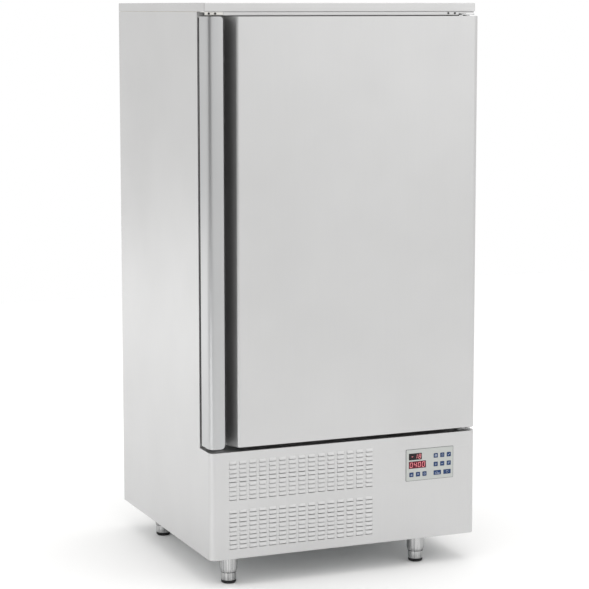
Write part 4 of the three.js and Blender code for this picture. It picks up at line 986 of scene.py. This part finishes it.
# %% Rear panel and gland
def hexagon(width):
    """A nut's outline with rounded corners."""
    return rounded([(*polar(width / math.sqrt(3), k * PI / 3), 1.2) for k in range(6)], 4)


GLAND_X, REAR, GLAND_Z = -300, 365.5, 119
vents = [rectangle(x - 75, x + 75, 293 - 24 * row, 299 - 24 * row, 2.95, 8) for x in (-95, 95)
         for row in range(7)]
rear_loops = [rectangle(-398.8, 398.8, BASE, CAP, 1.5, 4), *vents, round_hole(GLAND_X, GLAND_Z, 10.3, 32)]
make("rear_sheet", plate(rear_loops, "y", REAR - SHEET, REAR), galvanised, "rear_panel")
screw_places = [(x, z) for x in (-376, 376) for z in (420, 690, 960, 1230)]
screw_places += [(x, z) for x in (-376, -190, 0, 190, 376) for z in (100, 336, 1528)]
for index, (x, z) in enumerate(screw_places):
    make(f"rear_screw_{index + 1}", lay(screw_head, "y", x, REAR, z), bright, "rear_panel")

for word, form, material in (
        ("nut", plate([hexagon(24.6), round_hole(0, 0, 10.1)], "z", -8.2, -1.2), black),
        ("neck", hollow([(5, -10.4), (9.6, -10.4), (10, -9.9), (10, 0.2), (5, 0.2)]), black),
        ("skirt", plate([hexagon(30.6), round_hole(0, 0, 6)], "z", 0, 5), black),
        ("dome", hollow([(5, 0.5), (6.2, 0.5), (13.6, 5), (13.4, 6.6), (12.6, 8), (12.9, 8.4), (11.6, 10.4),
                         (10, 11.7), (9.3, 12), (7.4, 12), (5, 10.2)]), black),
        ("seal", hollow([(5, 3), (7.3, 3), (7.3, 11.5), (6.6, 11.8), (5.2, 11), (5, 10)]), rubber)):
    make(f"gland_{word}", lay(form, "y", GLAND_X, REAR, GLAND_Z), material, "cable_gland", edge=0.3)
print(len(vents), "vents and", len(screw_places), "screws")

# %% [markdown]
# The drain is a moulded flange with a dished lip over a plain tail. Everything that melts off the coil runs
# to it across the cavity's floor.

# %% Drain
drain = [(9, 363.2), (9.6, 363), (12.4, 363), (13, 363.8), (13, CAVITY_LOW), (27.6, CAVITY_LOW),
         (28, 435.3), (27.4, 436), (26.5, 436.5), (23, 436.3), (14, 436), (11, 435.6), (9.4, 434.4), (9, 433)]
DRAIN = (119, 60)
make("drain_spout", hollow(drain, *DRAIN), black, "cavity_drain")
print("drain made")

# %% [markdown]
# ## Coils
# A coil is a pack of thin fins on pipes that go to and fro. Rows of straight pipe are joined by half bends at
# the ends, so one path per row holds them all. The fins are single thin sheets, and their number makes the
# shimmer that a real coil has. Both coils fill the boxes of their construction nodes.


# %% Condenser and evaporator coils
def span(node):
    """Lowest and highest corner of a construction node, in millimetres."""
    return [[value / MM for value in corner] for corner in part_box(node)]


def snake(low, high, levels, place_at, steps=5):
    """A pipe path to and fro between two ends, rising through the levels."""
    corners = [place_at(end, level) for index, level in enumerate(levels)
               for end in ((low, high) if index % 2 == 0 else (high, low))]
    return bent(corners, (levels[1] - levels[0]) / 2 - 0.01, steps)


def sheets(axis, places, *bounds):
    """Thin fins across an axis, as open quads that a modifier makes solid."""
    return together(*[(place(rectangle(*bounds), axis, at), [(0, 1, 2, 3)]) for at in places])


def spaced(low, high, count):
    return [low + (high - low) * k / (count - 1) for k in range(count)]


low, high = span("condenser_coil")
fin_x = spaced(low[0] + 16, high[0] - 16, 104)
make("condenser_fins", sheets("x", fin_x, low[1] + 1, high[1] - 1, low[2] + 1, high[2] - 1), fins,
     "condenser_coil", wall=0.25)
levels = spaced(low[2] + 22, high[2] - 22, 9)
for index, y in enumerate((low[1] + 14, high[1] - 14)):
    runs = tube(snake(low[0] + 5, high[0] - 5, levels, lambda x, z, y=y: (x, y, z)), 4.6, 10)
    make(f"condenser_pipes_{index + 1}", runs, copper, "condenser_coil")
for index, x in enumerate((low[0] + 13.5, high[0] - 14.7)):
    end_sheet = plate([rectangle(low[1], high[1], low[2], high[2], 3, 4)], "x", x, x + 1.2)
    make(f"condenser_end_{index + 1}", end_sheet, galvanised, "condenser_coil")
inlet = tube([(high[0] - 20, GAS_Y, GAS_Z), (high[0] - 0.2, GAS_Y, GAS_Z)], 6, 16)
make("condenser_inlet", inlet, copper, "condenser_coil")

low, high = span("evaporator_coil")
fin_y = spaced(low[1] + 20, high[1] - 20, 120)
make("evaporator_fins", sheets("y", fin_y, low[0] + 1, high[0] - 1, low[2] + 22, high[2] - 1), fins,
     "evaporator_coil", wall=0.3)
levels = spaced(low[2] + 46, high[2] - 24, 28)
for index, x in enumerate(spaced(low[0] + 18, high[0] - 18, 4)):
    runs = tube(snake(low[1] + 6, high[1] - 6, levels, lambda y, z, x=x: (x, y, z), 4), 5, 8)
    make(f"evaporator_pipes_{index + 1}", runs, copper, "evaporator_coil")
for index, y in enumerate((low[1] + 17, high[1] - 18.2)):
    end_sheet = plate([rectangle(low[0], high[0], low[2] + 20, high[2], 3, 4)], "y", y, y + 1.2)
    leg = bar(rectangle(high[0] - 24, high[0] - 2, y, y + 1.2), "z", low[2], low[2] + 24)
    make(f"evaporator_end_{index + 1}", end_sheet, galvanised, "evaporator_coil")
    make(f"evaporator_leg_{index + 1}", leg, galvanised, "evaporator_coil")
print(len(fin_x), "and", len(fin_y), "fins")

# %% [markdown]
# ## Machine compartment
# The shroud's plate is drawn into the collar with a soft radius, as a fan duct is. Its parts are made about
# z, along the air, and then laid along y. The motor hangs on three arms in the collar.

# %% Fan shroud and its motor
SHROUD_Y = -242.5
duct = turned([(113.6, 0), (112, 0.3), (110.7, 1.2), (110.1, 2.6), (110, 4), (110, 36), (110.6, 37)],
              steps=96, caps=OPEN)
shroud_face = filled([rectangle(-165, 165, -120, 120, 3, 4), round_hole(0, 0, 113.6, 96)], "z", 0)
arm = bar(rectangle(24, 109.8, -6, 6, 1.5, 4), "z", 34.2, 36.4, 0.6)
motor = turned([(10, 34), (26, 34), (30.5, 35.4), (32, 38), (32, 55), (31.2, 55.6), (31.2, 57.4), (32, 58),
                (32, 76), (30, 81), (25, 83.4), (12, 84), (0.5, 84)])
shaft = turned([(4.6, 4.4), (5, 5), (5, 36), (4.6, 36)], steps=16)
slot = bar(rectangle(20, 28.6, -1.1, 1.1, 1, 4), "z", 82.6, 83.4)


def repeated(part, count, start=0.0):
    """A part repeated about z, its first copy turned by start."""
    turns = [Matrix.Rotation(start + k * math.tau / count, 4, "Z") for k in range(count)]
    return together(*[moved(part, lambda p, turn=turn: turn @ p) for turn in turns])


for name, form, material, options in (
        ("shroud_plate", together(shroud_face, duct), galvanised, {"facing": (0, -1, 0), "wall": 1.1}),
        ("shroud_arms", repeated(arm, 3, PI / 2), galvanised, {}),
        ("condenser_motor", together(motor, shaft), enamel, {}),
        ("condenser_motor_slots", repeated(slot, 12), rubber, {})):
    make(name, lay(form, "y", AIR_X, SHROUD_Y, AIR_Z), material, "fan_shroud", **options)
print("shroud and motor made")

# %% [markdown]
# The compressor's can is turned from its lower cup, weld bead and upper cup in one profile, and stands on
# rubber grommets. The receiver is a small pressed vessel beside it. The two lines are tubes along bent
# paths, with the bends a pipe bender would give.

# %% Compressor, receiver and lines
CX, CY, RECEIVER = 170, 10, (-250, 120)
SUCTION_X, HOT_X = CX + 46, CX - 46
PIPE_LOW, PIPE_HIGH = 316.3, 356.3
cups = [(30, 97.4), (60, 97.4), (70, 101), (78.5, 110), (82.5, 122), (83.4, 134), (83.4, 206), (83.2, 207),
        (84, 208.4), (84, 210.4), (83, 211.8), (82, 212.6), (82, 262), (80.6, 272), (76, 283), (67, 293),
        (54, 300), (36, 303.4), (14, 304), (0.5, 304)]
make("compressor_can", turned(cups, CX, CY, 96), enamel, "compressor")
corners = [(CX + 80 * sx, CY + 52 * sy) for sy in (-1, 1) for sx in (-1, 1)]
foot_plate = [rectangle(CX - 92, CX + 92, CY - 67, CY + 67, 9), *[round_hole(*at, 6) for at in corners]]
make("compressor_plate", plate(foot_plate, "z", 95, 99), enamel, "compressor", edge=0.8)
grommet = [(4, 81), (11.6, 81), (12, 81.6), (12, 86), (10.4, 87.2), (12, 88.6), (12, 94.4), (11.4, 95),
           (5.8, 95), (5.8, 98.6), (4, 98.6)]
for index, at in enumerate(corners):
    make(f"compressor_grommet_{index + 1}", hollow(grommet, *at, 32), rubber, "compressor")
lid = bar(rectangle(CX - 25.3, CX + 25.3, 157.8, 213.8, 5), "y", CY - 99.2, CY - 76, 3)
strap = bar(rectangle(CX - 26, CX + 26, 182, 189, 1), "y", CY - 100, CY - 76, 0.4)
stub = [(9, 286), (9, 311), (8.4, 313), (8.4, 315.6), (8, 316)]
vessel = [(28.8, 91), (40, 91), (45.4, 96), (48, 104), (48, 238), (46.4, 250), (41, 260), (31, 267),
          (18, 270.4), (0.5, 271)]
skirt = [(28.8, 81), (42.6, 81), (43.2, 81.6), (43.2, 91.4), (28.8, 91.4)]
hot_gas = bent([(HOT_X, CY, PIPE_LOW), (HOT_X, CY, PIPE_HIGH), (HOT_X, GAS_Y, PIPE_HIGH),
                (HOT_X, GAS_Y, GAS_Z), (-11.7, GAS_Y, GAS_Z)], 30, 12)
for name, form, material, node in (
        ("terminal_lid", lid, black, "compressor"),
        ("terminal_strap", strap, bright, "compressor"),
        ("stub_suction", turned(stub, SUCTION_X, CY, 32), copper, "compressor"),
        ("stub_discharge", turned(stub, HOT_X, CY, 32), copper, "compressor"),
        ("receiver_vessel", turned(vessel, *RECEIVER, 64), enamel, "liquid_receiver"),
        ("receiver_skirt", hollow(skirt, *RECEIVER, 64), enamel, "liquid_receiver"),
        ("suction_pipe", tube([(SUCTION_X, CY, PIPE_LOW), (SUCTION_X, CY, LEDGE - 0.3)], 7.9, 24), copper,
         "suction_line"),
        ("discharge_pipe", tube(hot_gas, 6, 20), copper, "discharge_line")):
    make(name, form, material, node)
print("sealed system made")

# %% [markdown]
# ## Construction pieces that stay
# Five nodes are right as they are, such as the foam between the sheets. They keep their shape and get a
# finish and soft edges. The flat faces come in as triangles, so they are merged before that.

# %% Foam, liner, frame, pan and box
for name, material, width in (("inner_liner", satin, 0.4), ("front_frame", satin_level, 0.5),
                              ("cabinet_insulation", foam, 1.0), ("base_pan", galvanised, 0.5),
                              ("control_box", black, 1.0)):
    node = bpy.data.objects[name]
    paint(node.data, material)
    modify(node, "weld", "WELD", merge_threshold=0.001 * MM)
    modify(node, "flat faces", "DECIMATE", decimate_type="DISSOLVE", angle_limit=math.radians(1))
    soften(node, "edges", width, 40)
print("every construction node has a finish")

# %% [markdown]
# ## The studio
# The object stands in a plain white room. A world can answer each kind of ray in its own way. The camera, and
# whatever looks through glass, sees pure white. Gloss sees the same white but for one soft dark patch at the
# left, as a dark screen beside the object would give: it draws the band along the grip's bend. All other
# light comes evenly from everywhere.

# %% World
world = bpy.data.worlds.new("studio")
bpy.context.scene.world = world
world.use_nodes = True
sky = world.node_tree
rays = add(sky, "LightPath").outputs
screen_side = Vector((-0.88, -0.47, -0.03)).normalized()
nearness = add(sky, "VectorMath", {0: add(sky, "TexCoord").outputs["Generated"], 1: screen_side},
               operation="DOT_PRODUCT").outputs["Value"]
screen = add(sky, "MapRange", {"Value": nearness, "From Min": 0.80, "From Max": 0.98, "To Min": 0.0,
                               "To Max": 0.78}, interpolation_type="SMOOTHSTEP").outputs["Result"]
in_gloss = combine(sky, "MULTIPLY", screen, rays["Is Glossy Ray"])
extra = combine(sky, "MULTIPLY", rays["Is Diffuse Ray"], 0.1)
strength = combine(sky, "ADD", combine(sky, "SUBTRACT", 1.0, in_gloss), extra)
direct = combine(sky, "MAXIMUM", rays["Is Camera Ray"], rays["Is Transmission Ray"])
backdrop = sky.nodes["Background"]
backdrop.inputs["Color"].default_value = (1.0, 0.995, 0.985, 1)
sky.links.new(strength, backdrop.inputs["Strength"])
seen = add(sky, "Background", {"Color": (1, 1, 1, 1)})
chosen = add(sky, "MixShader", {0: direct, 1: backdrop.outputs[0], 2: seen.outputs[0]})
sky.links.new(chosen.outputs[0], sky.nodes["World Output"].inputs["Surface"])
print("dark screen toward", [round(v, 2) for v in screen_side])

# %% [markdown]
# The floor is a pale sheet that ends in white. It is only as wide as its shadow needs, so that high parts of
# the object mirror the room beyond it. One large lamp above gives the shadow a direction. Three dim lamps at
# the left lift the foot of the side and the floor before it, as light from a white sweep would; the largest
# is kept out of reflections, where it would draw a line on the grip. One more at the right front is mirrored
# in the door's upper corner, which is the brightest place of the front.

# %% Floor and lamps
floor_mesh = bpy.data.meshes.new("floor")
floor_mesh.from_pydata([(-2.4, -3, 0), (4, -3, 0), (4, 5, 0), (-2.4, 5, 0)], [], [(0, 1, 2, 3)])
floor = bpy.data.objects.new("floor", floor_mesh)
bpy.context.scene.collection.objects.link(floor)
pale = bpy.data.materials.new("pale_floor")
pale.use_nodes = True
pale.node_tree.nodes["Principled BSDF"].inputs["Base Color"].default_value = (0.92, 0.92, 0.92, 1)
pale.node_tree.nodes["Principled BSDF"].inputs["Roughness"].default_value = 0.9
floor_mesh.materials.append(pale)


def soft_light(name, place_at, aim, size, watts):
    lamp = bpy.data.lights.new(name, "AREA")
    lamp.shape = "RECTANGLE"
    lamp.size, lamp.size_y = size
    lamp.energy = watts
    made = bpy.data.objects.new(name, lamp)
    made.location = place_at
    made.rotation_euler = (Vector(aim) - Vector(place_at)).to_track_quat("-Z", "Y").to_euler()
    bpy.context.scene.collection.objects.link(made)
    return made


soft_light("top", (0.6, -0.7, 4.2), (0, 0, 0), (4, 4), 40)
soft_light("left rear", (-2.3, 2.6, 0.25), (-0.4, 0.0, 0.25), (4.0, 0.5), 3.6)
soft_light("left front", (-2.6, -1.4, 0.16), (-0.4, -0.4, 0.16), (1.6, 0.3), 5.5)
sweep = soft_light("left sweep", (-3.2, 0.8, 1.5), (-0.6, 0.2, 0.0), (3.4, 2.6), 18)
sweep.visible_glossy = False
soft_light("right front", (1.9, -3.3, 2.1), (0.35, -0.38, 1.45), (1.4, 1.4), 6)
print("five lamps")
